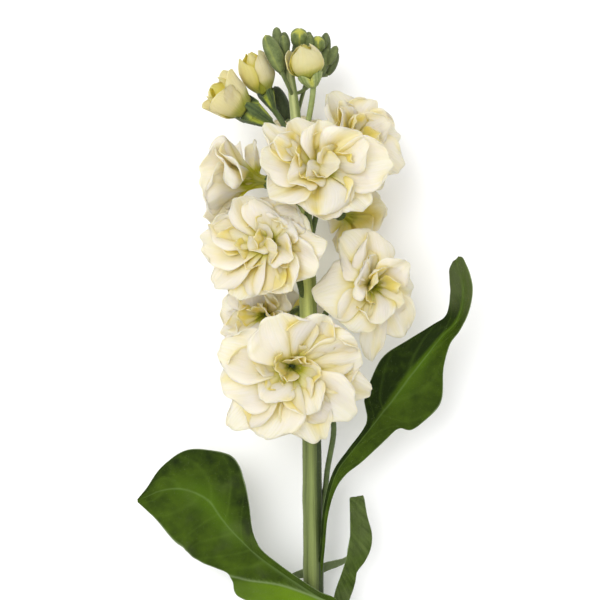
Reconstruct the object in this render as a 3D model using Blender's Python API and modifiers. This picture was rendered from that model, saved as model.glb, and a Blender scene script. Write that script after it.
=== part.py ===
"""Stock flower stem: one cut stem of cream double stock, laid on a table.

The stem lies along +Y with its bud head towards +Y, +Z is up, and the table is at z = 0. The origin is
on the table, under the middle of the flower's bounding box. Sizes in the tables below are millimetres
in the flower's own grid, whose zero lies on the raceme's middle; FRAME_SHIFT moves it to the origin.
"""

import math

import bmesh
import bpy
from mathutils import Vector

MM = 0.001
FRAME_SHIFT = Vector((-0.78, 51.64, 0.0))

# Thin parts and clearances
BLADE = 0.6
LEAF_BLADE = 0.7
SEAT = 0.3
FOOT_HEIGHT = BLADE / 2
FOOT_FLAT = 0.3

# Room for each bloom: how far its petals' middle surfaces stay from the borders with its neighbours, the
# stem and the table, and how softly they are pressed there
CELL_MARGIN = 0.52
CELL_SOFTNESS = 1.4
STEM_SOFTNESS = 0.9
SOFT_REACH = 8.0
CELL_PASSES = 12
TABLE_MARGIN = 0.36
TABLE_ZONE = 8.0
BODY_HEIGHT = 5.0

# Points round a stalk, a calyx or a receptacle
ROUND = 8

# Main stem: points of its axis, x and y, from the cut end to the foot of the bud head
STEM_AXIS = [(6.0, -185.0), (5.4, -140.0), (4.3, -95.0), (3.8, -60.0), (3.5, -40.0), (2.4, 0.0),
             (0.9, 30.0), (-0.9, 51.0)]
STEM_RADII = [3.4, 3.3, 3.2, 3.05, 3.0, 2.75, 2.4, 1.85]
STEM_END_HEIGHT = 3.2
STEM_RISE = 0.09
STEM_RIBS = 6
RIB_DEPTH = 0.05

# Calyx: the green cup under each bloom, its heights as shares of its length and its radii
CALYX_LENGTH = 8.0
CALYX_PROFILE = [(0.0, 0.95), (0.14, 1.7), (0.45, 2.25), (0.85, 2.3)]
CALYX_TIP = (0.8, 2.9)
CALYX_NOTCH = (-0.7, 2.25)
CALYX_FLOOR_RADIUS = 1.9
PEDICEL_RADIUS = 0.85
ELBOW = 0.9

# Petal shape: the claw leaves the receptacle at CLAW_ANGLE and bends out between two shares of the length
SPINE_STEPS = 24
CLAW_ANGLE = 12.0
CLAW_SHARE = 0.08
BEND_SHARE = 0.4
PINWHEEL = 26.0
CORE_RINGS = [(SEAT, 1.8), (1.7, 3.8), (3.8, 3.6), (6.0, 2.0)]

# Petal surface: how far its corners are drawn back and its tip is notched, as shares of its length, its
# cupping, edge ruffles and slow waves as shares of its width, and how far it swerves, in degrees
TIP_ROUNDING = 0.15
TIP_NOTCH = 0.04
CUPPING = 0.1
RUFFLE = 0.07
SLOW_WAVE = 0.04
SWERVE = 6.0

# Each layer of petals: height and radius where it starts
LAYERS = {"outer": (1.0, 1.0), "inner": (1.8, 0.8), "tuft": (2.6, 0.5)}
# Where a petal's rows of faces end, as shares of its length, and its number of columns
FRONT_ROWS = {"outer": (0.0, 0.2, 0.42, 0.74, 1.0), "inner": (0.0, 0.3, 0.64, 1.0), "tuft": (0.0, 0.5, 1.0)}
REAR_ROWS = {"outer": (0.0, 0.26, 0.62, 1.0), "inner": (0.0, 0.3, 0.64, 1.0), "tuft": (0.0, 0.5, 1.0)}
COLUMNS = 2
REAR_BLOOMS = (6, 8, 9, 10)

# Blooms: middle of the receptacle, direction the bloom faces, height on the stem where its stalk starts,
# and its petals as (turn, tilt, length, width, curl), outer ones first.
BLOOMS = {
    1: dict(
        heart=(-2.4, -19.0, 33.5), faces=(0.0, -0.12, 0.99), stalk_from=-61.0,
        stalk_by=[(8.4, -52.0, 13.6), (10.2, -37.5, 18.0), (5.0, -28.0, 22.6)],
        outer=[(162, 90, 26, 15, 8), (194, 88, 25, 18, 14), (219, 96, 30, 12, 4), (249, 90, 26, 17, 10),
               (286, 97, 28, 14, 0), (319, 92, 27, 17, 6), (343, 98, 29, 12, 4), (6, 86, 25, 15, 10),
               (32, 82, 26, 16, 8)],
        inner=[(62, 72, 24, 14, 6), (105, 60, 24, 19, 14), (298, 64, 18, 12, 16), (228, 60, 16, 11, 14)],
        tuft=[(80, 22, 10, 6, -20), (250, 20, 9, 5, -12)]),
    2: dict(
        heart=(-7.0, 16.2, 33.6), faces=(-0.33, 0.05, 0.93), stalk_from=6.0,
        outer=[(160, 88, 24, 13, 6), (183, 92, 25, 15, 4), (210, 94, 25, 11, 6), (234, 96, 24, 11, 6),
               (262, 86, 19, 14, 12), (296, 84, 19, 15, 12), (330, 86, 22, 14, 10), (8, 92, 30, 13, -4)],
        inner=[(112, 72, 22, 13, 8), (80, 62, 21, 13, 10), (42, 64, 18, 11, 12), (338, 52, 15, 10, 14)],
        tuft=[(150, 22, 9, 6, -16)]),
    3: dict(
        heart=(5.2, 37.8, 35.4), faces=(0.12, 0.06, 0.98), stalk_from=28.0,
        outer=[(150, 98, 25, 9, 0), (175, 90, 22, 13, 6), (208, 88, 21, 13, 10), (262, 80, 18, 18, 14),
               (326, 88, 21, 13, 8), (4, 88, 26, 15, 6), (118, 90, 19, 12, 2)],
        inner=[(40, 60, 20, 15, 12), (84, 68, 17, 13, 8), (200, 56, 14, 10, 16)],
        tuft=[(250, 22, 8, 5, -16)]),
    4: dict(
        heart=(13.6, 45.8, 22.4), faces=(0.46, 0.36, 0.78), stalk_from=36.0, stalk_by=[(6.4, 40.6, 17.4)],
        outer=[(112, 82, 19, 19, 10), (56, 84, 18, 13, 8), (18, 86, 19, 13, 12), (330, 90, 20, 12, 6),
               (290, 92, 20, 11, 4), (215, 84, 15, 13, 6)],
        inner=[(130, 50, 14, 11, 12), (30, 52, 14, 10, 14)],
        tuft=[]),
    5: dict(
        heart=(-13.2, 35.6, 26.2), faces=(-0.93, 0.12, 0.2), stalk_from=27.0,
        outer=[(64, 58, 21, 18, 10), (348, 56, 23, 19, 8), (288, 56, 21, 16, 10), (212, 62, 18, 13, 8),
               (140, 60, 18, 13, 8)],
        inner=[(26, 30, 17, 12, 14), (300, 28, 17, 12, 16)],
        tuft=[]),
    6: dict(
        heart=(11.4, 26.6, 13.2), faces=(0.74, -0.1, -0.66), stalk_from=21.0,
        outer=[(170, 76, 16, 12, 4), (226, 78, 14, 11, 6), (290, 84, 14, 12, 6), (10, 86, 14, 12, 4),
               (90, 82, 14, 12, 6)],
        inner=[(150, 46, 12, 9, 12), (330, 50, 11, 9, 10)],
        tuft=[]),
    7: dict(
        heart=(19.0, 4.8, 26.4), faces=(0.5, -0.08, 0.86), stalk_from=-7.0,
        outer=[(126, 82, 22, 15, 8), (92, 86, 21, 12, 2), (184, 88, 31, 20, 2), (228, 84, 21, 14, 12),
               (270, 98, 28, 9, 0), (312, 94, 22, 12, 6), (350, 86, 16, 13, 10)],
        inner=[(154, 62, 18, 13, 12), (46, 50, 15, 11, 10), (262, 56, 15, 11, 16)],
        tuft=[(140, 18, 8, 6, -16)]),
    8: dict(
        heart=(-10.5, -3.5, 16.4), faces=(-0.35, -0.3, 0.88), stalk_from=-13.0,
        stalk_by=[(-3.6, -10.0, 12.6), (-6.6, -4.4, 8.6)],
        outer=[(62, 80, 15, 14, 6), (108, 82, 16, 14, 8), (158, 84, 16, 13, 10), (200, 90, 18, 10, 2),
               (256, 84, 15, 13, 6), (330, 84, 14, 13, 6)],
        inner=[(80, 50, 12, 10, 12), (230, 50, 12, 9, 12)],
        tuft=[]),
    9: dict(
        heart=(-2.4, -5.6, 8.3), faces=(-0.34, -0.36, -0.86), stalk_from=-6.0,
        outer=[(20, 84, 17, 13, -4), (92, 84, 18, 14, -4), (164, 84, 18, 13, -4), (236, 84, 17, 13, -4),
               (308, 84, 18, 14, -4)],
        inner=[(60, 74, 12, 9, 0), (220, 74, 12, 9, 0)],
        tuft=[]),
    10: dict(
        heart=(1.6, 45.0, 11.2), faces=(0.06, 0.42, -0.9), stalk_from=40.0,
        outer=[(20, 82, 16, 13, -4), (92, 82, 17, 13, -4), (164, 84, 17, 13, -4), (236, 82, 16, 13, -4),
               (308, 82, 17, 13, -4)],
        inner=[(60, 66, 12, 9, 0), (220, 66, 12, 9, 0)],
        tuft=[]),
}

# Petals that lie flat on the table, by bloom
FOOT_PETALS = {9: [3, 4], 10: [3, 4]}

# Flat borders between neighbouring blooms that overlap: a point on it and its normal, from the first
# bloom to the second. Other neighbours share the room by their sizes.
BORDERS = {(2, 3): ((-0.6, 28.5, 38.5), (0.3, 0.55, 0.78))}

# Opening buds: as blooms, with their petals half wrapped round a core of the given length and radius
OPENING_BUDS = {
    1: dict(
        heart=(-17.0, 57.6, 27.4), faces=(-0.84, 0.48, 0.26), stalk_from=47.0, calyx=10.0, girth=1.5,
        core=(10.0, 3.8),
        outer=[(80, 44, 13, 11, 24), (14, 46, 13, 12, 12), (306, 44, 13, 11, 24), (232, 46, 13, 10, 20),
               (156, 44, 13, 10, 20)],
        inner=[(50, 22, 12, 9, 16)]),
    2: dict(
        heart=(-10.6, 62.8, 24.4), faces=(-0.42, 0.88, 0.2), stalk_from=49.0, calyx=6.0, girth=1.2,
        stalk_by=[(-5.6, 54.0, 22.6)],
        core=(9.5, 3.6),
        outer=[(100, 24, 13, 11, 4), (20, 26, 13, 11, 6), (310, 24, 13, 11, 4), (240, 28, 12, 11, 8),
               (170, 26, 12, 10, 6)]),
    3: dict(
        heart=(3.0, 66.4, 32.0), faces=(-0.26, 0.92, 0.25), stalk_from=47.0, calyx=3.6, girth=1.5,
        stalk_by=[(2.6, 54.0, 28.8), (3.6, 59.6, 30.0)],
        core=(9.0, 4.2),
        outer=[(110, 34, 11, 10, -30), (40, 34, 11, 10, -30), (325, 34, 11, 10, -30),
               (255, 34, 11, 10, -30), (182, 36, 11.5, 10, -16)]),
}

# Bud head: the tip of the stem, and its green buds as (place on it, middle, tip, radius)
HEAD_AXIS = [(-0.92, 51.3, 24.47), (-1.9, 60.0, 25.2), (-2.9, 68.0, 25.9), (-3.2, 73.5, 26.0)]
HEAD_AXIS_RADII = [1.75, 1.5, 1.2, 0.8]
HEAD_BUDS = [
    (0.62, (-7.6, 72.8, 30.2), (-10.0, 78.4, 30.2), 2.5),
    (0.9, (-6.8, 78.4, 23.4), (-7.0, 82.0, 23.0), 1.6),
    (0.94, (-4.4, 78.0, 21.0), (-4.8, 81.0, 20.4), 1.4),
    (1.0, (-0.9, 78.2, 26.2), (-0.4, 81.6, 26.6), 2.6),
    (0.94, (2.4, 77.6, 22.4), (2.8, 80.8, 22.0), 1.4),
    (0.86, (5.6, 76.4, 25.2), (5.6, 79.6, 25.6), 2.3),
    (0.8, (8.2, 76.4, 21.8), (8.4, 80.0, 21.4), 1.1),
    (0.7, (9.6, 71.2, 21.6), (11.2, 74.8, 21.2), 1.6),
    (0.72, (6.8, 71.0, 24.0), (8.4, 75.4, 23.6), 1.9),
    (0.12, (-5.6, 59.4, 18.6), (-7.5, 64.4, 17.4), 2.0),
    (0.84, (-0.6, 74.6, 19.6), (-0.6, 78.8, 18.2), 1.9),
    (0.74, (-6.2, 71.6, 20.4), (-8.0, 75.8, 19.4), 1.9),
    (0.66, (3.6, 69.8, 19.4), (5.4, 73.6, 17.8), 1.7),
]

# Points round a green bud
BUD_SIDES = 6

# Leaves: waves along an edge in radians, and how far the right edge's waves lag behind the left edge's
EDGE_WAVES = 17.0
EDGE_LAG = 2.2
# Parts of the smooth line between two stations of a leaf
LEAF_STEPS = 6

# Leaves: rib is how far the midrib stands out below at the foot and at the tip, fold the rise of both
# halves. Each station is x, y, z, half-width on the left and on the right and roll, and where the left
# half is creased, how far from the rib and how far it droops beyond. Angles are in degrees.
LEAVES = {
    1: dict(
        rib=(1.7, 0.5), rows=16, fold=8, wave=0.6,
        stations=[(6.4, -104.0, 15.9, 0.9, 0.9, 0, 0.8, 0), (9.2, -97.5, 18.0, 4.0, 2.0, 0, 3.0, 0),
                  (8.6, -91.5, 19.4, 10.0, 1.6, 0, 3.0, 8), (3.6, -87.4, 20.0, 14.0, 1.4, 0, 3.0, 14),
                  (-3.4, -81.8, 20.0, 16.5, 1.6, -4, 5.0, 30), (-12.3, -75.3, 19.4, 17.5, 2.4, -8, 9.0, 40),
                  (-17.5, -70.0, 18.8, 13.6, 5.4, -6, 10.0, 14),
                  (-22.5, -66.0, 18.0, 14.6, 9.5, 0, 9.0, 0), (-31.0, -61.0, 17.0, 14.6, 14.6, 4, 9.0, 0),
                  (-37.6, -57.4, 15.6, 12.6, 13.2, 6, 8.0, 0), (-42.4, -55.0, 12.0, 10.2, 11.0, 6, 7.0, 0),
                  (-43.4, -54.6, 7.6, 7.6, 8.4, 6, 5.0, 0), (-41.4, -55.6, 4.4, 3.4, 3.4, 6, 2.0, 0)]),
    2: dict(
        rib=(1.7, 0.5), rows=18, fold=14, wave=0.6,
        stations=[(8.1, -79.0, 15.5, 0.9, 0.9, 0), (8.8, -67.0, 17.8, 1.0, 1.0, 0),
                  (11.0, -55.0, 19.6, 1.6, 1.6, 0), (15.5, -46.0, 20.4, 2.6, 3.2, 4),
                  (21.5, -38.5, 20.8, 6.6, 5.0, 6), (27.4, -31.0, 21.0, 12.2, 7.0, 6),
                  (33.0, -23.5, 21.2, 12.4, 10.5, 4), (38.6, -16.4, 21.8, 8.4, 7.4, -6),
                  (42.9, -11.1, 22.6, 5.6, 4.6, -26), (46.6, -7.4, 23.4, 5.0, 5.4, -50),
                  (48.8, -2.6, 23.8, 5.2, 5.6, -58), (49.4, 2.6, 23.4, 5.0, 5.2, -56),
                  (48.6, 7.4, 22.0, 4.0, 4.0, -50), (47.2, 11.0, 19.6, 2.6, 2.6, -44),
                  (45.6, 11.6, 17.0, 1.0, 1.0, -44)]),
    3: dict(
        rib=(1.2, 0.4), rows=10, fold=20, wave=0.5,
        stations=[(9.6, -112.0, 9.4, 0.9, 0.9, 0), (11.4, -101.0, 10.8, 2.4, 2.4, 20),
                  (13.6, -90.0, 12.0, 3.4, 4.4, 26), (16.2, -79.0, 12.6, 4.2, 5.0, 22),
                  (18.0, -69.5, 12.6, 4.0, 4.6, 12), (17.8, -62.0, 12.0, 3.2, 3.2, 6),
                  (17.2, -59.2, 11.0, 1.6, 1.6, 0)]),
    4: dict(
        rib=(0.5, 0.3), rows=8, fold=6, wave=0.2,
        stations=[(-2.8, -83.0, 7.9, 0.7, 0.7, 0), (0.4, -82.0, 8.2, 1.7, 1.7, 0),
                  (4.1, -81.0, 8.2, 2.2, 2.2, 0), (8.4, -79.6, 7.8, 2.6, 2.6, 20),
                  (12.6, -78.0, 7.2, 2.2, 2.2, 34), (16.0, -76.6, 6.2, 0.8, 0.8, 34)]),
}

# How often the split of a fused body's faces into triangles is corrected
SPLIT_TRIES = 12

COLOURS = {
    "stem_green": ((0.23, 0.31, 0.08), 0.5),
    "leaf_green": ((0.05, 0.11, 0.02), 0.55),
    "calyx_green": ((0.22, 0.32, 0.07), 0.6),
    "bud_green": ((0.16, 0.24, 0.08), 0.65),
    "petal_cream": ((0.86, 0.82, 0.62), 0.55),
    "bud_cream": ((0.8, 0.72, 0.42), 0.55),
}


def stem_height(y):
    """Height of the stem's axis over the table."""
    return STEM_END_HEIGHT + STEM_RISE * (y - STEM_AXIS[0][1])


def between(table, y):
    """Value at y on straight lines through (y, value) pairs."""
    for (y0, a), (y1, b) in zip(table, table[1:]):
        if y <= y1:
            return a + (b - a) * (y - y0) / (y1 - y0)
    return table[-1][1]


def stem_point(y):
    return Vector((between([(p[1], p[0]) for p in STEM_AXIS], y), y, stem_height(y)))


def stem_radius(y):
    return between([(p[1], r) for p, r in zip(STEM_AXIS, STEM_RADII)], y)


def smooth_path(points, parts):
    """A smooth curve through the points, with the given number of parts between each pair."""
    ends = [points[0] * 2 - points[1]] + points + [points[-1] * 2 - points[-2]]
    path = []
    for a, b, c, d in zip(ends, ends[1:], ends[2:], ends[3:]):
        for step in range(parts):
            t = step / parts
            path.append(0.5 * (2 * b + (c - a) * t + (2 * a - 5 * b + 4 * c - d) * t * t
                               + (3 * b - a - 3 * c + d) * t ** 3))
    return path + [points[-1]]


def material(name):
    found = bpy.data.materials.get(name)
    if found:
        return found
    colour, roughness = COLOURS[name]
    made = bpy.data.materials.new(name)
    made.use_nodes = True
    shader = made.node_tree.nodes["Principled BSDF"]
    shader.inputs["Base Color"].default_value = (*colour, 1.0)
    shader.inputs["Roughness"].default_value = roughness
    shader.inputs["Metallic"].default_value = 0.0
    made.diffuse_color = (*colour, 1.0)
    return made


def add_mesh(name, bm, collection, finish):
    """Turns a bmesh in millimetres into an object in metres, at its place over the table."""
    bmesh.ops.recalc_face_normals(bm, faces=bm.faces)
    bmesh.ops.translate(bm, verts=bm.verts, vec=FRAME_SHIFT)
    bmesh.ops.scale(bm, verts=bm.verts, vec=(MM, MM, MM))
    mesh = bpy.data.meshes.new(name)
    bm.to_mesh(mesh)
    bm.free()
    mesh.shade_smooth()
    mesh.materials.append(material(finish))
    made = bpy.data.objects.new(name, mesh)
    collection.objects.link(made)
    return made


def loft(name, rings, collection, finish):
    """A closed body through rings of equally many points."""
    bm = bmesh.new()
    loops = [[bm.verts.new(point) for point in ring] for ring in rings]
    count = len(rings[0])
    for low, high in zip(loops, loops[1:]):
        for i in range(count):
            j = (i + 1) % count
            bm.faces.new((low[i], low[j], high[j], high[i]))
    bm.faces.new(loops[0][::-1])
    bm.faces.new(loops[-1])
    bmesh.ops.triangulate(bm, faces=bm.faces)
    return add_mesh(name, bm, collection, finish)


def rings_along(path, radii, sides, ribs=0, depth=0.0, start=None):
    """Rings square to a path, each ribbed by the given share of its radius."""
    rings = []
    across = start or Vector((0, 0, 1))
    for i, point in enumerate(path):
        ahead = path[min(i + 1, len(path) - 1)] - path[max(i - 1, 0)]
        ahead.normalize()
        across = (across - ahead * across.dot(ahead)).normalized()
        beside = ahead.cross(across)
        ring = []
        for k in range(sides):
            turn = 2 * math.pi * k / sides
            radius = radii[i] * (1 + depth * math.cos(ribs * turn))
            ring.append(point + (across * math.cos(turn) + beside * math.sin(turn)) * radius)
        rings.append(ring)
    return rings


def blade(name, grid, thickness, collection, finish):
    """A thin blade with thickness, from a grid of points on its middle surface."""
    bm = bmesh.new()
    rows = [[bm.verts.new(point) for point in row] for row in grid]
    for low, high in zip(rows, rows[1:]):
        for j in range(len(low) - 1):
            bm.faces.new((low[j], low[j + 1], high[j + 1]))
            bm.faces.new((low[j], high[j + 1], high[j]))
    made = add_mesh(name, bm, collection, finish)
    solid = made.modifiers.new("thickness", "SOLIDIFY")
    solid.thickness = thickness * MM
    solid.offset = 0.0
    return made


def evaluated_copy(source, name, collection):
    """A plain mesh object of what an object looks like with its modifiers."""
    graph = bpy.context.evaluated_depsgraph_get()
    mesh = bpy.data.meshes.new_from_object(source.evaluated_get(graph))
    mesh.name = name
    made = bpy.data.objects.new(name, mesh)
    made.matrix_world = source.matrix_world
    collection.objects.link(made)
    return made


def in_triangles(mesh):
    """The mesh in triangles. A face whose new diagonal would double another edge is split another way."""
    ways = {}
    for _ in range(SPLIT_TRIES):
        bm = bmesh.new()
        bm.from_mesh(mesh)
        groups = [[face for face in bm.faces if ways.get(face.index, 0) == way] for way in range(3)]
        bmesh.ops.poke(bm, faces=groups[2])
        bmesh.ops.triangulate(bm, faces=groups[1], ngon_method="BEAUTY")
        bmesh.ops.triangulate(bm, faces=groups[0], quad_method="FIXED", ngon_method="EAR_CLIP")
        doubled = [{vert.index for vert in edge.verts} for edge in bm.edges if len(edge.link_faces) != 2]
        if not doubled:
            return bm
        bm.free()
        for pair in doubled:
            for face in mesh.polygons:
                if len(face.vertices) > 3 and ways.get(face.index, 0) < 2 and pair <= set(face.vertices):
                    ways[face.index] = ways.get(face.index, 0) + 1
                    break
    return None


def outer_shell(mesh):
    """Keeps the biggest body of a mesh, in triangles, without its sealed hollows and scraps."""
    bm = in_triangles(mesh)
    if bm is None:
        return False
    left = set(bm.faces)
    bodies = []
    while left:
        body = {left.pop()}
        waiting = list(body)
        while waiting:
            for edge in waiting.pop().edges:
                for other in edge.link_faces:
                    if other not in body:
                        body.add(other)
                        waiting.append(other)
        left -= body
        bodies.append(body)
    biggest = max(bodies, key=len)
    rest = [face for body in bodies if body is not biggest for face in body]
    bmesh.ops.delete(bm, geom=rest, context="FACES")
    bm.to_mesh(mesh)
    bm.free()
    return True


def fuse(name, core, blades, collection):
    """One body from a core and the blades that grow from it."""
    group = bpy.data.collections.new(name + "_blades")
    bpy.context.scene.collection.children.link(group)
    for piece in blades:
        for home in list(piece.users_collection):
            home.objects.unlink(piece)
        group.objects.link(piece)
    join = core.modifiers.new("join", "BOOLEAN")
    join.operation = "UNION"
    join.operand_type = "COLLECTION"
    join.collection = group
    join.solver = "MANIFOLD"
    made = evaluated_copy(core, name, collection)
    if not outer_shell(made.data):
        raise ValueError(name + " did not close")
    for piece in list(group.objects) + [core]:
        bpy.data.objects.remove(piece)
    bpy.data.collections.remove(group)
    made.name = name
    return made


def bloom_frame(bloom):
    """Where a bloom's receptacle is, where it faces, and its right and up directions."""
    faces = Vector(bloom["faces"]).normalized()
    up = (Vector((0, 1, 0)) - faces * faces.y).normalized()
    return Vector(bloom["heart"]), faces, up.cross(faces), up


def bloom_reach(bloom):
    return max(petal[2] for petal in bloom["outer"])


def bloom_body(bloom):
    """The middle of a bloom's petals, which its share of the raceme is measured from."""
    heart, faces, _, _ = bloom_frame(bloom)
    return heart + faces * BODY_HEIGHT


def cell_planes(bloom):
    """The flat bounds of a bloom's share of the raceme, as points, inward normals and softness."""
    middle = bloom_body(bloom)
    flowers = list(BLOOMS.values()) + list(OPENING_BUDS.values())
    neighbours = [other for other in flowers if other is not bloom]
    planes = []
    for pair, (point, normal) in BORDERS.items():
        first, second = [BLOOMS[number] for number in pair]
        if bloom is first or bloom is second:
            neighbours.remove(second if bloom is first else first)
            inward = Vector(normal).normalized() * (-1 if bloom is first else 1)
            planes.append((Vector(point), inward, CELL_SOFTNESS))
    for other in neighbours:
        away = bloom_body(other) - middle
        room = bloom_reach(bloom) + bloom_reach(other)
        if away.length < room:
            share = bloom_reach(bloom) / room
            planes.append((middle + away * share, -away.normalized(), CELL_SOFTNESS))
    axis = stem_point(middle.y)
    out = middle - axis
    out.y = 0
    out.normalize()
    reach = stem_radius(middle.y) * (1 + RIB_DEPTH)
    planes.append((axis + out * reach, out, STEM_SOFTNESS))
    return planes


def hold_in(point, planes):
    """Presses a point softly into its cell, so that layers keep their order."""
    for base, inward, softness in planes:
        depth = (point - base).dot(inward)
        excess = (depth - CELL_MARGIN) / softness
        if excess < SOFT_REACH:
            point = point + inward * (CELL_MARGIN + softness * math.log1p(math.exp(excess)) - depth)
    for _ in range(CELL_PASSES):
        for base, inward, _ in planes:
            depth = (point - base).dot(inward)
            if depth < CELL_MARGIN:
                point = point + inward * (CELL_MARGIN - depth)
    return point


def petal_spine(tilt, length, curl, height, radius):
    """A petal's middle line as (height, radius, angle) at even steps."""
    spine = []
    for step in range(SPINE_STEPS + 1):
        s = step / SPINE_STEPS
        bend = min(max((s - CLAW_SHARE) / (BEND_SHARE - CLAW_SHARE), 0.0), 1.0)
        bend = bend * bend * (3 - 2 * bend)
        angle = CLAW_ANGLE + (tilt - CLAW_ANGLE) * bend + curl * max(0.0, (s - 0.6) / 0.4) ** 1.5
        angle = math.radians(angle)
        spine.append((height, radius, angle))
        height += length / SPINE_STEPS * math.cos(angle)
        radius += length / SPINE_STEPS * math.sin(angle)
    return spine


def smooth_step(x):
    x = min(max(x, 0.0), 1.0)
    return x * x * (3 - 2 * x)


def petal_half_width(s):
    """Half-width along a petal: a narrow claw, a broad blade and a round tip."""
    tip = max(0.0, (s - 0.66) / 0.34)
    return (0.13 + 0.87 * smooth_step((s - 0.06) / 0.58)) * math.sqrt(1 - 0.62 * tip * tip)


def petal_grid(bloom, layer, number, stations, columns, planes, foot=False):
    """Points on a petal's middle surface, row by row from its claw."""
    heart, faces, right, up = bloom_frame(bloom)
    turn, tilt, length, width, curl = bloom[layer][number]
    phase = 2.4 * number + 0.7 * turn
    spine = petal_spine(tilt, length, curl, *LAYERS[layer])
    grid = []
    for s in stations:
        row = []
        spread = math.radians(turn + SWERVE * math.sin(phase) * s * s)
        outward = right * math.cos(spread) + up * math.sin(spread)
        half = petal_half_width(s) * width / 2
        roll = math.radians(PINWHEEL) * smooth_step(s / 0.5)
        for j in range(columns + 1):
            v = 2 * j / columns - 1
            reach = s * (1 - (TIP_ROUNDING * v * v + TIP_NOTCH * math.exp(-(v / 0.3) ** 2)) * s * s)
            place = min(reach * SPINE_STEPS, SPINE_STEPS - 1e-6)
            k = int(place)
            height, radius, angle = [a + (b - a) * (place - k) for a, b in zip(spine[k], spine[k + 1])]
            normal = faces * math.sin(angle) - outward * math.cos(angle)
            beside = faces.cross(outward)
            beside, normal = (beside * math.cos(roll) + normal * math.sin(roll),
                              normal * math.cos(roll) - beside * math.sin(roll))
            lift = (CUPPING * v * v * half
                    + RUFFLE * width * s * s * v * abs(v) * math.sin(4.0 * s + phase)
                    + SLOW_WAVE * width * s * s * math.sin(3.0 * v + 2 * phase))
            point = heart + faces * height + outward * radius + beside * (v * half) + normal * lift
            point = hold_in(point, planes)
            if foot:
                point.z = max(point.z, FOOT_HEIGHT)
            elif point.z < TABLE_ZONE:
                point.z = TABLE_MARGIN + math.log1p(math.exp(point.z - TABLE_MARGIN))
            row.append(point)
        grid.append(row)
    return grid


def stalk_path(flower, calyx_length):
    """A bloom's stalk, from the stem's side to the foot of its calyx."""
    heart, faces, _, _ = bloom_frame(flower)
    foot = heart - faces * calyx_length
    by = [Vector(point) for point in flower.get("stalk_by", ())]
    root = stem_point(flower["stalk_from"])
    out = (by + [foot])[0] - root
    out.y = 0
    out.normalize()
    reach = stem_radius(root.y) * (1 + RIB_DEPTH) + SEAT
    return [root + out * reach] + smooth_path([root + out * (reach + ELBOW)] + by + [foot], 2)


def build_calyx(name, flower, collection):
    """A stalk that widens into a calyx with four pointed sepals."""
    heart, faces, right, _ = bloom_frame(flower)
    length = flower.get("calyx", CALYX_LENGTH)
    girth = flower.get("girth", 1.0)
    path = stalk_path(flower, length)
    rings = rings_along(path, [PEDICEL_RADIUS] * len(path), ROUND, start=right)
    across = rings[-1][0] - path[-1]
    across = (across - faces * across.dot(faces)).normalized()
    beside = faces.cross(across)
    rings.pop()

    def ring(even, odd):
        """Points round the calyx whose height and radius take turns between two pairs."""
        points = []
        for k in range(ROUND):
            turn = 2 * math.pi * k / ROUND
            height, radius = odd if k % 2 else even
            points.append(heart + faces * height
                          + (across * math.cos(turn) + beside * math.sin(turn)) * radius)
        return points

    for share, radius in CALYX_PROFILE:
        pair = ((share - 1) * length, radius * (girth if share > 0 else 1.0))
        rings.append(ring(pair, pair))
    rings.append(ring((CALYX_TIP[0], CALYX_TIP[1] * girth), (CALYX_NOTCH[0], CALYX_NOTCH[1] * girth)))
    rings.append(ring((0, CALYX_FLOOR_RADIUS * girth), (0, CALYX_FLOOR_RADIUS * girth)))
    return loft(name, rings, collection, "calyx_green")


def build_core(name, bloom, rings, collection, finish):
    """The receptacle that a bloom's petals grow from."""
    heart, faces, right, up = bloom_frame(bloom)
    turns = [2 * math.pi * k / ROUND for k in range(ROUND)]
    loops = [[heart + faces * height + (right * math.cos(turn) + up * math.sin(turn)) * radius
              for turn in turns] for height, radius in rings]
    return loft(name, loops, collection, finish)


def grow_petals(name, bloom, rows, collection, finish, feet=()):
    """The blades of a bloom's petals, layer by layer."""
    planes = cell_planes(bloom)
    petals = []
    for layer, stations in rows.items():
        for k in range(len(bloom.get(layer, ()))):
            foot = layer == "outer" and k in feet
            grid = petal_grid(bloom, layer, k, stations, COLUMNS, planes, foot)
            petals.append(blade(f"{name}_{layer}_{k}", grid, BLADE, collection, finish))
    return petals


def lay_flat(mesh):
    """Brings the lowest points of a bloom exactly down to the table."""
    for vert in mesh.vertices:
        if vert.co.z < FOOT_FLAT * MM:
            vert.co.z = 0.0


def build_bloom(number, bloom, collection):
    name = f"bloom_{number}"
    build_calyx(name + "_calyx", bloom, collection)
    core = build_core(name + "_core", bloom, CORE_RINGS, collection, "petal_cream")
    rows = REAR_ROWS if number in REAR_BLOOMS else FRONT_ROWS
    feet = FOOT_PETALS.get(number, ())
    petals = grow_petals(name, bloom, rows, collection, "petal_cream", feet)
    made = fuse(name + "_petals", core, petals, collection)
    if feet:
        lay_flat(made.data)
    return made


def build_opening_bud(number, bud, collection):
    name = f"opening_bud_{number}"
    build_calyx(name + "_calyx", bud, collection)
    tall, wide = bud["core"]
    rings = [(SEAT, 1.75), (tall * 0.3, wide * 0.8), (tall * 0.6, wide), (tall * 0.85, wide * 0.7),
             (tall, wide * 0.2)]
    core = build_core(name + "_core", bud, rings, collection, "bud_cream")
    petals = grow_petals(name, bud, REAR_ROWS, collection, "bud_cream")
    return fuse(name + "_petals", core, petals, collection)


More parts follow.
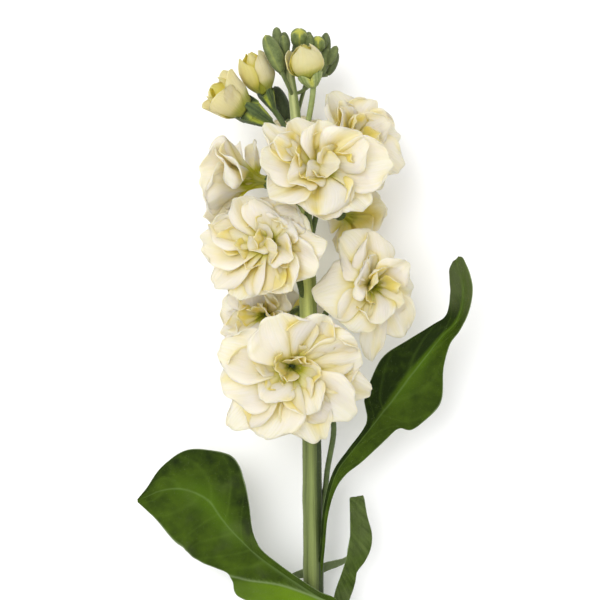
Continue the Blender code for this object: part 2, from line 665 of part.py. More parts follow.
def build_bud_head(collection):
    """The tip of the stem and its cluster of green buds."""
    path = [Vector(point) for point in HEAD_AXIS]
    axis = loft("bud_head_axis", rings_along(path, HEAD_AXIS_RADII, ROUND), collection, "bud_green")
    buds = []
    for k, (share, middle, tip, radius) in enumerate(HEAD_BUDS):
        place = share * (len(path) - 1)
        low = min(int(place), len(path) - 2)
        root = path[low].lerp(path[low + 1], place - low)
        middle, tip = Vector(middle), Vector(tip)
        base = middle * 2 - tip
        line = [root, base, middle.lerp(base, 0.4), middle.lerp(tip, 0.4), tip]
        radii = [0.55, 0.8, radius, radius * 0.92, 0.25 * radius]
        buds.append(loft(f"green_bud_{k}", rings_along(line, radii, BUD_SIDES), collection, "bud_green"))
    return fuse("bud_head", axis, buds, collection)


def build_stem(collection):
    """The ribbed stem, with a small flat where its cut end lies on the table."""
    path = [stem_point(y) for _, y in STEM_AXIS]
    rings = rings_along(path, STEM_RADII, 2 * STEM_RIBS, STEM_RIBS, RIB_DEPTH)
    for ring in rings:
        for point in ring:
            point.z = max(point.z, 0.0)
    return loft("stem", rings, collection, "stem_green")


def crease_of(station):
    """Where the left half of a leaf is creased and how far it droops; halfway and flat if not stated."""
    return Vector((station[6], station[7], 0)) if len(station) > 6 else Vector((station[3] / 2, 0, 0))


def leaf_sections(leaf, rows):
    """Closed sections of a leaf: its upper face from left to right, then its lower face and rib back."""
    table = leaf["stations"]
    spine = smooth_path([Vector(row[:3]) for row in table], LEAF_STEPS)
    widths = smooth_path([Vector(row[3:6]) for row in table], LEAF_STEPS)
    creases = smooth_path([crease_of(row) for row in table], LEAF_STEPS)
    last = len(spine) - 1
    thick, thin = leaf["rib"]
    fold = math.radians(leaf["fold"])
    beside = None
    sections = []
    for i in range(rows + 1):
        along = i / rows
        k = min(int(along * last), last - 1)
        mix = along * last - k
        point = spine[k].lerp(spine[k + 1], mix)
        left, right, roll = widths[k].lerp(widths[k + 1], mix)
        ahead = (spine[min(k + 2, last)] - spine[max(k - 1, 0)]).normalized()
        level = ahead.cross(Vector((0, 0, 1)))
        if level.length > 0.35 or beside is None:
            beside = level.normalized()
        else:
            beside = (beside - ahead * beside.dot(ahead)).normalized()
        normal = beside.cross(ahead)
        turn = math.radians(roll)
        side = beside * math.cos(turn) - normal * math.sin(turn)
        face = normal * math.cos(turn) + beside * math.sin(turn)
        rib = thick + (thin - thick) * along ** 0.6
        crease, droop, _ = creases[k].lerp(creases[k + 1], mix)
        crease = min(crease, 0.75 * left)
        beside_rib = min(0.55 * rib, 0.4 * min(left, right))
        upper, lower = [], []
        for v, out in ((-1.0, -left), (-0.5, -crease), (-0.1, -beside_rib), (0.0, 0.0),
                       (0.1, beside_rib), (0.55, 0.55 * right), (1.0, right)):
            lag = EDGE_LAG if v > 0 else 0.0
            wave = leaf["wave"] * v * v * min(1.0, abs(out) / 4) * math.sin(EDGE_WAVES * along + lag)
            at = point + side * (out * math.cos(fold)) + face * (abs(out) * math.sin(fold) + wave)
            if v == -1.0:
                bent = math.radians(droop)
                at += (side * ((left - crease) * (math.cos(fold) - math.cos(fold - bent)))
                       - face * ((left - crease) * (math.sin(fold) - math.sin(fold - bent))))
            upper.append(at + face * (LEAF_BLADE / 2))
            lower.append(at - face * (LEAF_BLADE / 2 + (rib if v == 0 else 0.0)))
        sections.append(upper + lower[::-1])
    return sections


def build_leaf(number, leaf, collection):
    return leaf_body(f"leaf_{number}", leaf_sections(leaf, leaf["rows"]), collection)


def leaf_body(name, sections, collection):
    """A leaf from its sections, both faces split into triangles the same way."""
    bm = bmesh.new()
    loops = [[bm.verts.new(point) for point in section] for section in sections]
    count = len(loops[0])
    half = count // 2
    for low, high in zip(loops, loops[1:]):
        for i in range(count):
            j = (i + 1) % count
            if i < half:
                bm.faces.new((low[i], low[j], high[j]))
                bm.faces.new((low[i], high[j], high[i]))
            else:
                bm.faces.new((low[i], low[j], high[i]))
                bm.faces.new((low[j], high[j], high[i]))
    for loop in (loops[0][::-1], loops[-1]):
        for i in range(half - 1):
            bm.faces.new((loop[i], loop[i + 1], loop[count - 2 - i], loop[count - 1 - i]))
    return add_mesh(name, bm, collection, "leaf_green")


def main():
    for old in list(bpy.data.objects):
        bpy.data.objects.remove(old)
    flower = bpy.data.collections.new("stock_flower_stem")
    bpy.context.scene.collection.children.link(flower)
    build_stem(flower)
    for number, leaf in LEAVES.items():
        build_leaf(number, leaf, flower)
    for number, bloom in BLOOMS.items():
        build_bloom(number, bloom, flower)
    for number, bud in OPENING_BUDS.items():
        build_opening_bud(number, bud, flower)
    build_bud_head(flower)


main()
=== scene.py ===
# %% [markdown]
# A cut stem of double stock lies on a pale table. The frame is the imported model, which says where each
# stem, leaf and bloom is. Its solids are plain, so this script gives every one of them a finer surface
# and its colours.

import math

import bmesh
import bpy
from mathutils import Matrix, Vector


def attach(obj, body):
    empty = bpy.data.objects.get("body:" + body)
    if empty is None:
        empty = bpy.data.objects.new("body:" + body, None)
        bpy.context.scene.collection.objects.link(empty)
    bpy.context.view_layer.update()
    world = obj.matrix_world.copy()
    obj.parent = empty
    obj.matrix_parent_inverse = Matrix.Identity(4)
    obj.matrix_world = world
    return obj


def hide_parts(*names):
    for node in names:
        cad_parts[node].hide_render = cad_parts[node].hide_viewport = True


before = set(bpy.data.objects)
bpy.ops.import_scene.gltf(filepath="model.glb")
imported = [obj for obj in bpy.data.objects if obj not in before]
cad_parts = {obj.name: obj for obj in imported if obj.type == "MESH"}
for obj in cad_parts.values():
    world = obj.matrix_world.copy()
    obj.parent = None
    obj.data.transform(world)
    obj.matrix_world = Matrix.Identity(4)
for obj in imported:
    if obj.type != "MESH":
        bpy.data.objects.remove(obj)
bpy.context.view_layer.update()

# %% [markdown]
# The tables are in millimetres, in a grid whose zero lies on the middle of the flower spike. One shift
# brings them to the frame, whose zero is on the table under the middle of the whole flower. The stem
# comes first, because all that grows from it asks where its middle is and how thick it is.

# %% Sizes
MM = 0.001
FRAME_SHIFT = Vector((-0.78, 51.64, 0.0))
STEM_AXIS = [(6.0, -185.0), (5.4, -140.0), (4.3, -95.0), (3.8, -60.0), (3.5, -40.0), (2.4, 0.0),
             (0.9, 30.0), (-0.9, 51.0)]
STEM_RADII = [3.4, 3.3, 3.2, 3.05, 3.0, 2.75, 2.4, 1.85]
STEM_END_HEIGHT = 3.2
STEM_RISE = 0.09


def between(table, y):
    """Value at y on straight lines through (y, value) pairs."""
    for (y0, a), (y1, b) in zip(table, table[1:]):
        if y <= y1:
            return a + (b - a) * (y - y0) / (y1 - y0)
    return table[-1][1]


def stem_point(y):
    """The middle of the stem at y."""
    height = STEM_END_HEIGHT + STEM_RISE * (y - STEM_AXIS[0][1])
    return Vector((between([(p[1], p[0]) for p in STEM_AXIS], y), y, height))


def stem_radius(y):
    return between([(p[1], r) for p, r in zip(STEM_AXIS, STEM_RADII)], y)


def smooth_step(x):
    x = min(max(x, 0.0), 1.0)
    return x * x * (3 - 2 * x)


def smooth_path(points, parts):
    """A smooth curve through the points, with the given number of parts between each pair."""
    ends = [points[0] * 2 - points[1]] + points + [points[-1] * 2 - points[-2]]
    path = []
    for a, b, c, d in zip(ends, ends[1:], ends[2:], ends[3:]):
        for step in range(parts):
            t = step / parts
            path.append(0.5 * (2 * b + (c - a) * t + (2 * a - 5 * b + 4 * c - d) * t * t
                               + (3 * b - a - 3 * c + d) * t ** 3))
    return path + [points[-1]]


print("the stem's axis runs from y", STEM_AXIS[0][1], "to", STEM_AXIS[-1][1], "mm")

# %% [markdown]
# The photograph looks straight at the flower, so the camera looks straight down on the laid stem. The
# picture's 180 mm stand for 600 pixels at the height of the stem, and half a metre away a 100 mm lens
# sees just that. The light is a white sky with one large soft window at the upper left, and a weak fill
# from the right.

# %% Camera, table and light
VIEW_WIDTH = 0.18
VIEW_DISTANCE = 0.5
VIEW_HEIGHT = 0.025
TABLE_SIZE = 2.0
TABLE_DROP = 0.0001
FLOWER_MIDDLE = (0, 0.03, 0)
LIGHT_SIZE = 0.7
SKY_STRENGTH = 1.03


def add_camera():
    data = bpy.data.cameras.new("camera")
    data.lens = data.sensor_width * VIEW_DISTANCE / VIEW_WIDTH
    data.clip_start = 0.01
    camera = bpy.data.objects.new("camera", data)
    camera.location = FRAME_SHIFT * MM + Vector((0, 0, VIEW_HEIGHT + VIEW_DISTANCE))
    bpy.context.scene.collection.objects.link(camera)
    bpy.context.scene.camera = camera


def add_floor():
    mesh = bpy.data.meshes.new("table_top")
    corners = ((-1, -1), (1, -1), (1, 1), (-1, 1))
    mesh.from_pydata([(x * TABLE_SIZE, y * TABLE_SIZE, -TABLE_DROP) for x, y in corners], [], [(0, 1, 2, 3)])
    floor = bpy.data.objects.new("table_top", mesh)
    bpy.context.scene.collection.objects.link(floor)
    finish = bpy.data.materials.new("white_table")
    finish.use_nodes = True
    shader = finish.node_tree.nodes["Principled BSDF"]
    shader.inputs["Base Color"].default_value = (0.96, 0.96, 0.96, 1)
    shader.inputs["Roughness"].default_value = 0.9
    shader.inputs["Specular IOR Level"].default_value = 0.1
    mesh.materials.append(finish)


def add_light(name, place, power):
    data = bpy.data.lights.new(name, "AREA")
    data.shape = "DISK"
    data.size = LIGHT_SIZE
    data.energy = power
    light = bpy.data.objects.new(name, data)
    light.location = place
    light.rotation_euler = (Vector(FLOWER_MIDDLE) - Vector(place)).to_track_quat("-Z", "Y").to_euler()
    bpy.context.scene.collection.objects.link(light)


def add_sky():
    world = bpy.data.worlds.new("studio")
    world.use_nodes = True
    background = world.node_tree.nodes["Background"]
    background.inputs["Color"].default_value = (1, 1, 1, 1)
    background.inputs["Strength"].default_value = SKY_STRENGTH
    bpy.context.scene.world = world


add_camera()
add_floor()
add_light("soft_window", (-0.36, 0.26, 0.85), 5.0)
add_light("right_fill", (0.5, -0.1, 0.7), 0.5)
add_sky()
bpy.context.scene.view_settings.view_transform = "Standard"
print("camera, table and two lights")

# %% [markdown]
# Node sums are hard to read as boxes and wires. A Term stands for the value of one socket, so the
# rules of a petal can be written as arithmetic, in geometry trees and in materials alike.

# %% Arithmetic in nodes


class Term:
    """The value of one socket, number or arrow, used in sums like a number."""

    def __init__(self, tree, socket):
        self.tree = tree
        self.socket = socket

    def __add__(self, other):
        return worked("ADD", self, other)

    def __radd__(self, other):
        return worked("ADD", other, self)

    def __sub__(self, other):
        return worked("SUBTRACT", self, other)

    def __rsub__(self, other):
        return worked("SUBTRACT", other, self)

    def __mul__(self, other):
        if is_arrow(self) and not is_arrow(other):
            return worked("SCALE", self, other)
        return worked("MULTIPLY", self, other)

    def __rmul__(self, other):
        return self * other

    def __truediv__(self, other):
        return worked("DIVIDE", self, other)


def is_arrow(value):
    if isinstance(value, Term):
        return value.socket.type == "VECTOR"
    return isinstance(value, (Vector, tuple))


def feed(tree, socket, value):
    """Gives a socket a number, or wires a Term to it."""
    if isinstance(value, Term):
        tree.links.new(value.socket, socket)
    else:
        socket.default_value = value


def worked(how, *values):
    """The Term that a maths node gives for these values."""
    tree = next(value.tree for value in values if isinstance(value, Term))
    arrows = any(is_arrow(value) for value in values)
    node = tree.nodes.new("ShaderNodeVectorMath" if arrows else "ShaderNodeMath")
    node.operation = how
    if how == "SCALE":
        feed(tree, node.inputs[0], values[0])
        feed(tree, node.inputs["Scale"], values[1])
    else:
        for socket, value in zip(node.inputs, values):
            feed(tree, socket, value)
    number = how in ("DOT_PRODUCT", "LENGTH", "DISTANCE")
    return Term(tree, node.outputs["Value" if number or not arrows else "Vector"])


print("a Term can be added, taken away, multiplied and divided")

# %% [markdown]
# A plant has no sharp starts or ends. So its rules are written with a few smooth curves: one that eases
# from 0 to 1, a bell, and a floor with a soft bend. Noise gives what is never twice the same, and as it
# is fixed in space, it comes out alike at each run.

# %% Smooth curves


def sine(x):
    return worked("SINE", x)


def cosine(x):
    return worked("COSINE", x)


def clamped(x, low=0.0, high=1.0):
    return worked("MINIMUM", worked("MAXIMUM", x, low), high)


def eased(x):
    """0 below 0, 1 above 1, and smooth between."""
    x = clamped(x)
    return x * x * (3.0 - x * 2.0)


def gaussian(x, width):
    return worked("EXPONENT", x * x * (-1.0 / width ** 2))


def softly_over(x):
    """x where it is large, fading to nothing below zero."""
    return worked("MAXIMUM", x, 0.0) + worked("LOGARITHM", worked("EXPONENT", worked("ABSOLUTE", x) * -1.0)
                                              + 1.0, math.e)


def arrow(tree, x, y, z):
    node = tree.nodes.new("ShaderNodeCombineXYZ")
    for socket, value in zip(node.inputs, (x, y, z)):
        feed(tree, socket, value)
    return Term(tree, node.outputs[0])


def parts_of(vector):
    node = vector.tree.nodes.new("ShaderNodeSeparateXYZ")
    feed(vector.tree, node.inputs[0], vector)
    return [Term(vector.tree, output) for output in node.outputs]


def noise(tree, place, scale, detail=1.0, roughness=0.5):
    """Smooth random values from about -1 to 1."""
    node = tree.nodes.new("ShaderNodeTexNoise")
    feed(tree, node.inputs["Vector"], place)
    node.inputs["Scale"].default_value = scale
    node.inputs["Detail"].default_value = detail
    node.inputs["Roughness"].default_value = roughness
    return (Term(tree, node.outputs[0]) - 0.5) * 2.0


print("curves: eased, gaussian, softly_over and noise")

# %% [markdown]
# Every geometry tree here begins the same way: a group with named inputs, an object that carries it as a
# modifier, and at the end the plain mesh that the modifier made. A modifier's input has to be set by
# its identifier, and before the object is first evaluated.

# %% Trees and plain meshes
SOCKETS = {"number": "NodeSocketFloat", "count": "NodeSocketInt", "arrow": "NodeSocketVector",
           "object": "NodeSocketObject", "finish": "NodeSocketMaterial"}


def new_tree(name, inputs):
    """A geometry tree with named inputs. Returns it and its inputs as Terms by name."""
    tree = bpy.data.node_groups.new(name, "GeometryNodeTree")
    tree.interface.new_socket("Geometry", in_out="INPUT", socket_type="NodeSocketGeometry")
    tree.interface.new_socket("Geometry", in_out="OUTPUT", socket_type="NodeSocketGeometry")
    for label, kind in inputs.items():
        tree.interface.new_socket(label, in_out="INPUT", socket_type=SOCKETS[kind])
    start = tree.nodes.new("NodeGroupInput")
    return tree, {output.name: Term(tree, output) for output in start.outputs if output.name}


def placed(tree, kind, settings=None, **values):
    """Adds a node, sets its options, feeds its inputs by name, and returns its first output."""
    node = tree.nodes.new(kind)
    for option, choice in (settings or {}).items():
        setattr(node, option, choice)
    for label, value in values.items():
        feed(tree, node.inputs[label.replace("_", " ")], value)
    return Term(tree, node.outputs[0])


def position(tree):
    return placed(tree, "GeometryNodeInputPosition")


def end_tree(tree, geometry, finish):
    """Realizes what is left as instances, sets the material and ends the tree."""
    whole = placed(tree, "GeometryNodeRealizeInstances", Geometry=geometry)
    smooth = placed(tree, "GeometryNodeSetShadeSmooth", Geometry=whole)
    painted = placed(tree, "GeometryNodeSetMaterial", Geometry=smooth, Material=finish)
    out = tree.nodes.new("NodeGroupOutput")
    tree.links.new(painted.socket, out.inputs[0])


def read(tree, name, kind="FLOAT"):
    """A Term that reads an attribute of the points."""
    node = tree.nodes.new("GeometryNodeInputNamedAttribute")
    node.data_type = kind
    node.inputs["Name"].default_value = name
    return Term(tree, node.outputs[0])


def stored(tree, geometry, name, value, kind="FLOAT_VECTOR"):
    return placed(tree, "GeometryNodeStoreNamedAttribute", {"data_type": kind, "domain": "POINT"},
                  Geometry=geometry, Name=name, Value=value)


def points_object(name, rows, kinds):
    """An object of loose points that carry the named values of the rows."""
    mesh = bpy.data.meshes.new(name)
    mesh.from_pydata([row.get("place", (0, 0, 0)) for row in rows], [], [])
    for label, kind in kinds.items():
        values = mesh.attributes.new(label, kind, "POINT").data
        for value, row in zip(values, rows):
            if kind == "FLOAT":
                value.value = row[label]
            else:
                value.vector = row[label]
    made = bpy.data.objects.new(name, mesh)
    bpy.context.scene.collection.objects.link(made)
    return made


def apply_tree(source, tree, **inputs):
    """Puts a tree on an object and sets its inputs by identifier."""
    modifier = source.modifiers.new("rule", "NODES")
    modifier.node_group = tree
    sockets = {item.name: item.identifier for item in tree.interface.items_tree if item.in_out == "INPUT"}
    for label, value in inputs.items():
        modifier[sockets[label.replace("_", " ")]] = value


def made_plain(source, name):
    """Turns what an object shows into one plain mesh object, and removes the object."""
    graph = bpy.context.evaluated_depsgraph_get()
    mesh = bpy.data.meshes.new_from_object(source.evaluated_get(graph))
    mesh.name = name
    finish = mesh.materials[-1]
    mesh.materials.clear()
    mesh.materials.append(finish)
    bpy.data.objects.remove(source)
    made = bpy.data.objects.new(name, mesh)
    bpy.context.scene.collection.objects.link(made)
    return made


def hand_over(piece, node):
    """The piece stands for a node of the frame and moves with the flower."""
    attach(piece, "root")
    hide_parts(node)


print("a tree's inputs can be of", len(SOCKETS), "kinds:", ", ".join(SOCKETS))

# %% [markdown]
# A finish is a tree of nodes as well. Its helpers mix two colours, read what a geometry tree has stored
# on the points, and add grain so fine that bump does for it.

# %% Helpers for finishes


def new_finish(name):
    finish = bpy.data.materials.new(name)
    finish.use_nodes = True
    tree = finish.node_tree
    return finish, tree, tree.nodes["Principled BSDF"]


def mixed(tree, share, one, two):
    """A colour between two others, by a share from 0 to 1."""
    node = tree.nodes.new("ShaderNodeMix")
    node.data_type = "RGBA"
    feed(tree, node.inputs[0], share)
    for socket, colour in ((node.inputs[6], one), (node.inputs[7], two)):
        feed(tree, socket, colour if isinstance(colour, Term) else (*colour, 1.0))
    return Term(tree, node.outputs[2])


def attribute(tree, name):
    node = tree.nodes.new("ShaderNodeAttribute")
    node.attribute_name = name
    return Term(tree, node.outputs["Vector"])


def object_place(tree):
    return Term(tree, tree.nodes.new("ShaderNodeTexCoord").outputs["Object"])


def bumped(tree, shader, height, depth):
    node = tree.nodes.new("ShaderNodeBump")
    node.inputs["Strength"].default_value = 1.0
    node.inputs["Distance"].default_value = depth
    feed(tree, node.inputs["Height"], height)
    tree.links.new(node.outputs[0], shader.inputs["Normal"])


print("helpers: colours between two others, stored values and fine grain")

# %% [markdown]
# A petal of stock has a narrow green-yellow claw and a broad cream blade with a soft waved rim, veined
# lengthwise. The colour follows the petal, so it reads the place that the petal's tree stores on it: 0 at
# the claw to 1 at the tip, and across. On a young petal the white turns to warm cream. Deep between other
# petals and in a fold the white is painted warm cream, and the throat's green reaches further, as painted
# shade. A thin blade also lets some light through.

# %% Petal finish
WAXY_WHITE = (0.9, 0.87, 0.81)
BLUSHED_WHITE = (0.91, 0.84, 0.77)
WARM_CREAM_AND_SHADE = (0.9, 0.785, 0.25)
THROAT_GREEN = (0.6, 0.6, 0.025)
THROAT_LINES = (0.16, 0.22, 0.006)
BUD_WHITE = (0.88, 0.82, 0.55)
BUD_BLUSH = (0.88, 0.78, 0.56)
BUD_YELLOW_AND_SHADE = (0.78, 0.68, 0.12)
BUD_THROAT = (0.42, 0.46, 0.03)
SCATTER_DEPTHS = (1.0, 0.75, 0.4)
SCATTER_SCALE = 0.0012
VEIN_HEIGHT = 0.00012
LIGHT_LET_THROUGH = 0.45


def shine_through(tree, shader, colour, share):
    """Lets a share of the light pass through a thin blade, tinted."""
    through = tree.nodes.new("ShaderNodeBsdfTranslucent")
    feed(tree, through.inputs["Color"], colour)
    blend = tree.nodes.new("ShaderNodeMixShader")
    blend.inputs[0].default_value = share
    tree.links.new(shader.outputs[0], blend.inputs[1])
    tree.links.new(through.outputs[0], blend.inputs[2])
    tree.links.new(blend.outputs[0], tree.nodes["Material Output"].inputs["Surface"])


def petal_finish(name, white, blushed, cream_and_shade, throat, green_reach):
    finish, tree, shader = new_finish(name)
    along, across, number = parts_of(attribute(tree, "petal_place"))
    depth = parts_of(attribute(tree, "depth"))[0]
    youth = parts_of(attribute(tree, "youth"))[0]
    fold = parts_of(attribute(tree, "fold"))[0]
    claw = parts_of(attribute(tree, "claw"))[0]
    veins = noise(tree, arrow(tree, across * 34.0, along * 1.6, number), 1.0, 2.0)
    clouds = noise(tree, object_place(tree) * 120.0, 1.0, 2.0)
    foot_glow = (1.0 - eased(along / 0.5)) * 0.4
    # Painted shade: depth between petals and the creases (fold) turn the white to warm cream.
    cream_and_painted_shade = clamped(0.3 - along * 0.42 + foot_glow + clouds * 0.12 + veins * 0.08
                   + depth * 1.45 + fold * 0.45 + youth * 0.45)
    blush = clamped(noise(tree, object_place(tree) * 70.0, 1.0, 1.0) * 0.6 + along * 0.3 - depth)
    body = mixed(tree, cream_and_painted_shade, mixed(tree, blush * 0.6, white, blushed), cream_and_shade)
    throat_end = green_reach * 0.4 + claw * 0.8
    # Painted shade: deep between petals the throat's green reaches further.
    green = clamped(1.0 - eased((along - throat_end) / green_reach) + veins * 0.15
                    + (depth - 0.25) * (1.0 - along * 1.5))
    lines = clamped(veins * 1.4) * (1.0 - eased(along / 0.5)) * 0.6
    glow = mixed(tree, green, body, mixed(tree, lines, throat, THROAT_LINES))
    feed(tree, shader.inputs["Base Color"], glow)
    shader.inputs["Roughness"].default_value = 0.5
    shader.inputs["Specular IOR Level"].default_value = 0.35
    shader.inputs["Subsurface Weight"].default_value = 0.4
    shader.inputs["Subsurface Radius"].default_value = SCATTER_DEPTHS
    shader.inputs["Subsurface Scale"].default_value = SCATTER_SCALE
    shader.inputs["Sheen Weight"].default_value = 0.12
    bumped(tree, shader, veins, VEIN_HEIGHT)
    shine_through(tree, shader, mixed(tree, 0.22, glow, cream_and_shade), LIGHT_LET_THROUGH)
    return finish


petal_cream = petal_finish("petal_cream", WAXY_WHITE, BLUSHED_WHITE, WARM_CREAM_AND_SHADE, THROAT_GREEN, 0.24)
bud_cream = petal_finish("bud_cream", BUD_WHITE, BUD_BLUSH, BUD_YELLOW_AND_SHADE, BUD_THROAT, 0.28)
print("petal finishes:", petal_cream.name, bud_cream.name)

# %% [markdown]
# The petals are all alike and no two are the same. Modelling each by hand would take long, so one
# geometry tree makes them by rule. A petal starts as a flat grid, put on a loose point that carries its
# turn, tilt, length, width and curl. The grid's length becomes a spine that stands up as a claw, bends
# out, and curls at the tip. The tree walks along it in small steps, because an angle that changes all
# the way has no simple sum.

# %% The spine of a petal
RADIAN = math.pi / 180
SPINE_STEPS = 24
CLAW_ANGLE = 12.0
CLAW_SHARE = 0.08
BEND_SHARE = 0.4
CURL_START = 0.6


def spine_angle(share, tilt, curl):
    """The spine's angle from the bloom's axis at a share of its length, in radians."""
    bend = eased((share - CLAW_SHARE) / (BEND_SHARE - CLAW_SHARE))
    curled = worked("POWER", worked("MAXIMUM", (share - CURL_START) / (1 - CURL_START), 0.0), 1.5)
    return (CLAW_ANGLE + (tilt - CLAW_ANGLE) * bend + curl * curled) * RADIAN


def walked_spine(tree, reach, petal):
    """Walks along the spine in small steps, and returns the height and the radius that it gets to."""
    start = tree.nodes.new("GeometryNodeRepeatInput")
    stop = tree.nodes.new("GeometryNodeRepeatOutput")
    start.pair_with_output(stop)
    stop.repeat_items.clear()
    for label in ("height", "radius"):
        stop.repeat_items.new("FLOAT", label)
    start.inputs["Iterations"].default_value = SPINE_STEPS
    feed(tree, start.inputs["height"], petal["height"])
    feed(tree, start.inputs["radius"], petal["radius"])
    middle = (Term(tree, start.outputs["Iteration"]) + 0.5) / float(SPINE_STEPS)
    angle = spine_angle(reach * middle, petal["tilt"], petal["curl"])
    step = petal["length"] * reach / float(SPINE_STEPS)
    feed(tree, stop.inputs["height"], Term(tree, start.outputs["height"]) + step * cosine(angle))
    feed(tree, stop.inputs["radius"], Term(tree, start.outputs["radius"]) + step * sine(angle))
    return Term(tree, stop.outputs["height"]), Term(tree, stop.outputs["radius"])


print("a spine is walked in", SPINE_STEPS, "steps")

# %% [markdown]
# The blooms crowd each other, and real petals give way where they meet. Meshes that cross would show
# as cut lines. So every point is pressed behind the flat borders with its neighbours, one border after
# another: first softly, which bends the petal, and then sharply, to take up what is left.

# %% Behind the borders
CELL_MARGIN = 0.45


def pressed_in(tree, place, borders, count, rounds, soft):
    """Presses a place behind each border in turn, softly or, for the last corrections, sharply."""
    start = tree.nodes.new("GeometryNodeRepeatInput")
    stop = tree.nodes.new("GeometryNodeRepeatOutput")
    start.pair_with_output(stop)
    stop.repeat_items.clear()
    stop.repeat_items.new("VECTOR", "place")
    feed(tree, start.inputs["Iterations"], count * float(rounds))
    feed(tree, start.inputs["place"], place)
    turn = worked("MODULO", Term(tree, start.outputs["Iteration"]), count)
    at = Term(tree, start.outputs["place"])

    def sampled(name, kind):
        value = position(tree) if name == "position" else read(tree, name, kind)
        return placed(tree, "GeometryNodeSampleIndex", {"data_type": kind}, Geometry=borders, Value=value,
                      Index=turn)

    base, inward = sampled("position", "FLOAT_VECTOR"), sampled("inward", "FLOAT_VECTOR")
    depth = worked("DOT_PRODUCT", at - base, inward)
    if soft:
        softness = sampled("softness", "FLOAT")
        move = CELL_MARGIN + softness * softly_over((depth - CELL_MARGIN) / softness) - depth
    else:
        move = worked("MAXIMUM", CELL_MARGIN - depth, 0.0)
    feed(tree, stop.inputs["place"], at + inward * move)
    return Term(tree, stop.outputs["place"])


print("a petal stays", CELL_MARGIN, "mm behind each border")

# %% [markdown]
# The grid's width becomes the blade, narrow at the claw and broad above, with a rounded, slightly
# notched tip. It is cupped, twisted like a pinwheel, pleated, creased, and ruffled at the rim by a fixed
# noise. Each of these is one term of a sum, so each can be made stronger or weaker by itself.

# %% The blade of a petal
CLAW_WIDTH = 0.13
FLARE_LENGTH = 0.56
TIP_START = 0.66
TIP_NARROWING = 0.62
TIP_ROUNDING = 0.2
TIP_NOTCH = 0.03
RAGGED_SIDES = 0.08
RAGGED_TIP = 0.05
CUPPING = 0.12
RUFFLE = 0.08
SLOW_WAVE = 0.04
PLEATS = 0.035
WRINKLE_DEPTH = 0.02
CREASE_DEPTH = 0.12
CREASE_WIDTH = 0.17
SWERVE = 6.0


def petal_outline(tree, petal, along, v):
    """Half the blade's width at a place along it, and how far along its spine the place is drawn."""
    flare = eased((along - petal["claw"]) / FLARE_LENGTH)
    half = (CLAW_WIDTH + (1 - CLAW_WIDTH) * flare) * petal["width"] * 0.5
    tip = worked("MAXIMUM", (along - TIP_START) / (1 - TIP_START), 0.0)
    half = half * worked("SQRT", 1.0 - tip * tip * TIP_NARROWING)
    ragged = noise(tree, arrow(tree, along * 3.0, v * 1.5, petal["phase"] * 3.1), 1.0, 1.0)
    half = half * (1.0 + ragged * RAGGED_SIDES)
    drawn_back = (v * v * TIP_ROUNDING + gaussian(v, 0.3) * TIP_NOTCH) * along * along
    return half, along * (1.0 - drawn_back + ragged * along * RAGGED_TIP)


def petal_relief(tree, petal, along, v, half, ruffle):
    """How far a point stands off the flat blade, and how creased the blade is there."""
    width, phase = petal["width"], petal["phase"]
    rim = worked("MAXIMUM", v * v, along * along * along)
    wrinkles = noise(tree, arrow(tree, along * 5.0, v * 5.0, phase * 2.3), 1.0, 2.0)
    crumple = noise(tree, arrow(tree, along * 2.6, v * 1.3 + 7.0, phase * 1.7), 1.0, 1.5)
    lift = (v * v * half * CUPPING
            + width * along * along * v * worked("ABSOLUTE", v) * sine(along * 4.0 + phase) * RUFFLE
            + width * along * along * sine(v * 3.0 + phase * 2.0) * SLOW_WAVE
            + width * eased(along / 0.5) * sine(v * 5.5 + phase * 3.0 + along * 2.0) * PLEATS
            + width * crumple * eased(along / 0.6) * (0.35 + rim * 0.65) * ruffle
            + width * wrinkles * eased((along - 0.2) / 0.5) * WRINKLE_DEPTH)
    crease = gaussian(v - sine(phase * 1.3) * 0.35, CREASE_WIDTH) * eased((along - 0.12) / 0.35)
    crease = crease * (1.0 - along * 0.4) * (0.45 + sine(phase * 2.1) * 0.55)
    return lift - width * crease * CREASE_DEPTH, crease


def petal_place(tree, given, petal, along, across):
    """Where a point of a petal goes, from its place along and across it, and how creased it is there."""
    v = across * 2.0 - 1.0
    half, reach = petal_outline(tree, petal, along, v)
    height, radius = walked_spine(tree, reach, petal)
    angle = spine_angle(reach, petal["tilt"], petal["curl"])
    spread = (petal["turn"] + sine(petal["phase"]) * along * along * SWERVE) * RADIAN
    faces, right, up = given["Faces"], given["Right"], given["Up"]
    outward = right * cosine(spread) + up * sine(spread)
    normal = faces * sine(angle) - outward * cosine(angle)
    beside = worked("CROSS_PRODUCT", faces, outward)
    roll = eased(along / 0.5) * petal["roll"] * RADIAN
    rolled = beside * cosine(roll) + normal * sine(roll)
    normal = normal * cosine(roll) - beside * sine(roll)
    lift, crease = petal_relief(tree, petal, along, v, half, given["Ruffle"])
    root = given["Heart"] + right * petal["beside"] + up * petal["above"]
    return root + faces * height + outward * radius + rolled * (v * half) + normal * lift, crease


print("a claw has", CLAW_WIDTH, "of its blade's width")

# %% [markdown]
# Deep between the petals a cream bloom looks yellow, and a lamp alone doesn't make that colour, so the
# finish paints it there as painted shade. To know where, the tree measures how deep a point lies: it looks
# outwards from there in five directions, and the nearer it meets a petal, the deeper the point is. The
# number stays on the point, and the finish reads it.

# %% Depth between petals, for painted shade
SKIN = 0.0003
OUTLOOK = 0.009
LOOK_OUTWARDS = 0.6
LOOK_ASIDE = 1.1


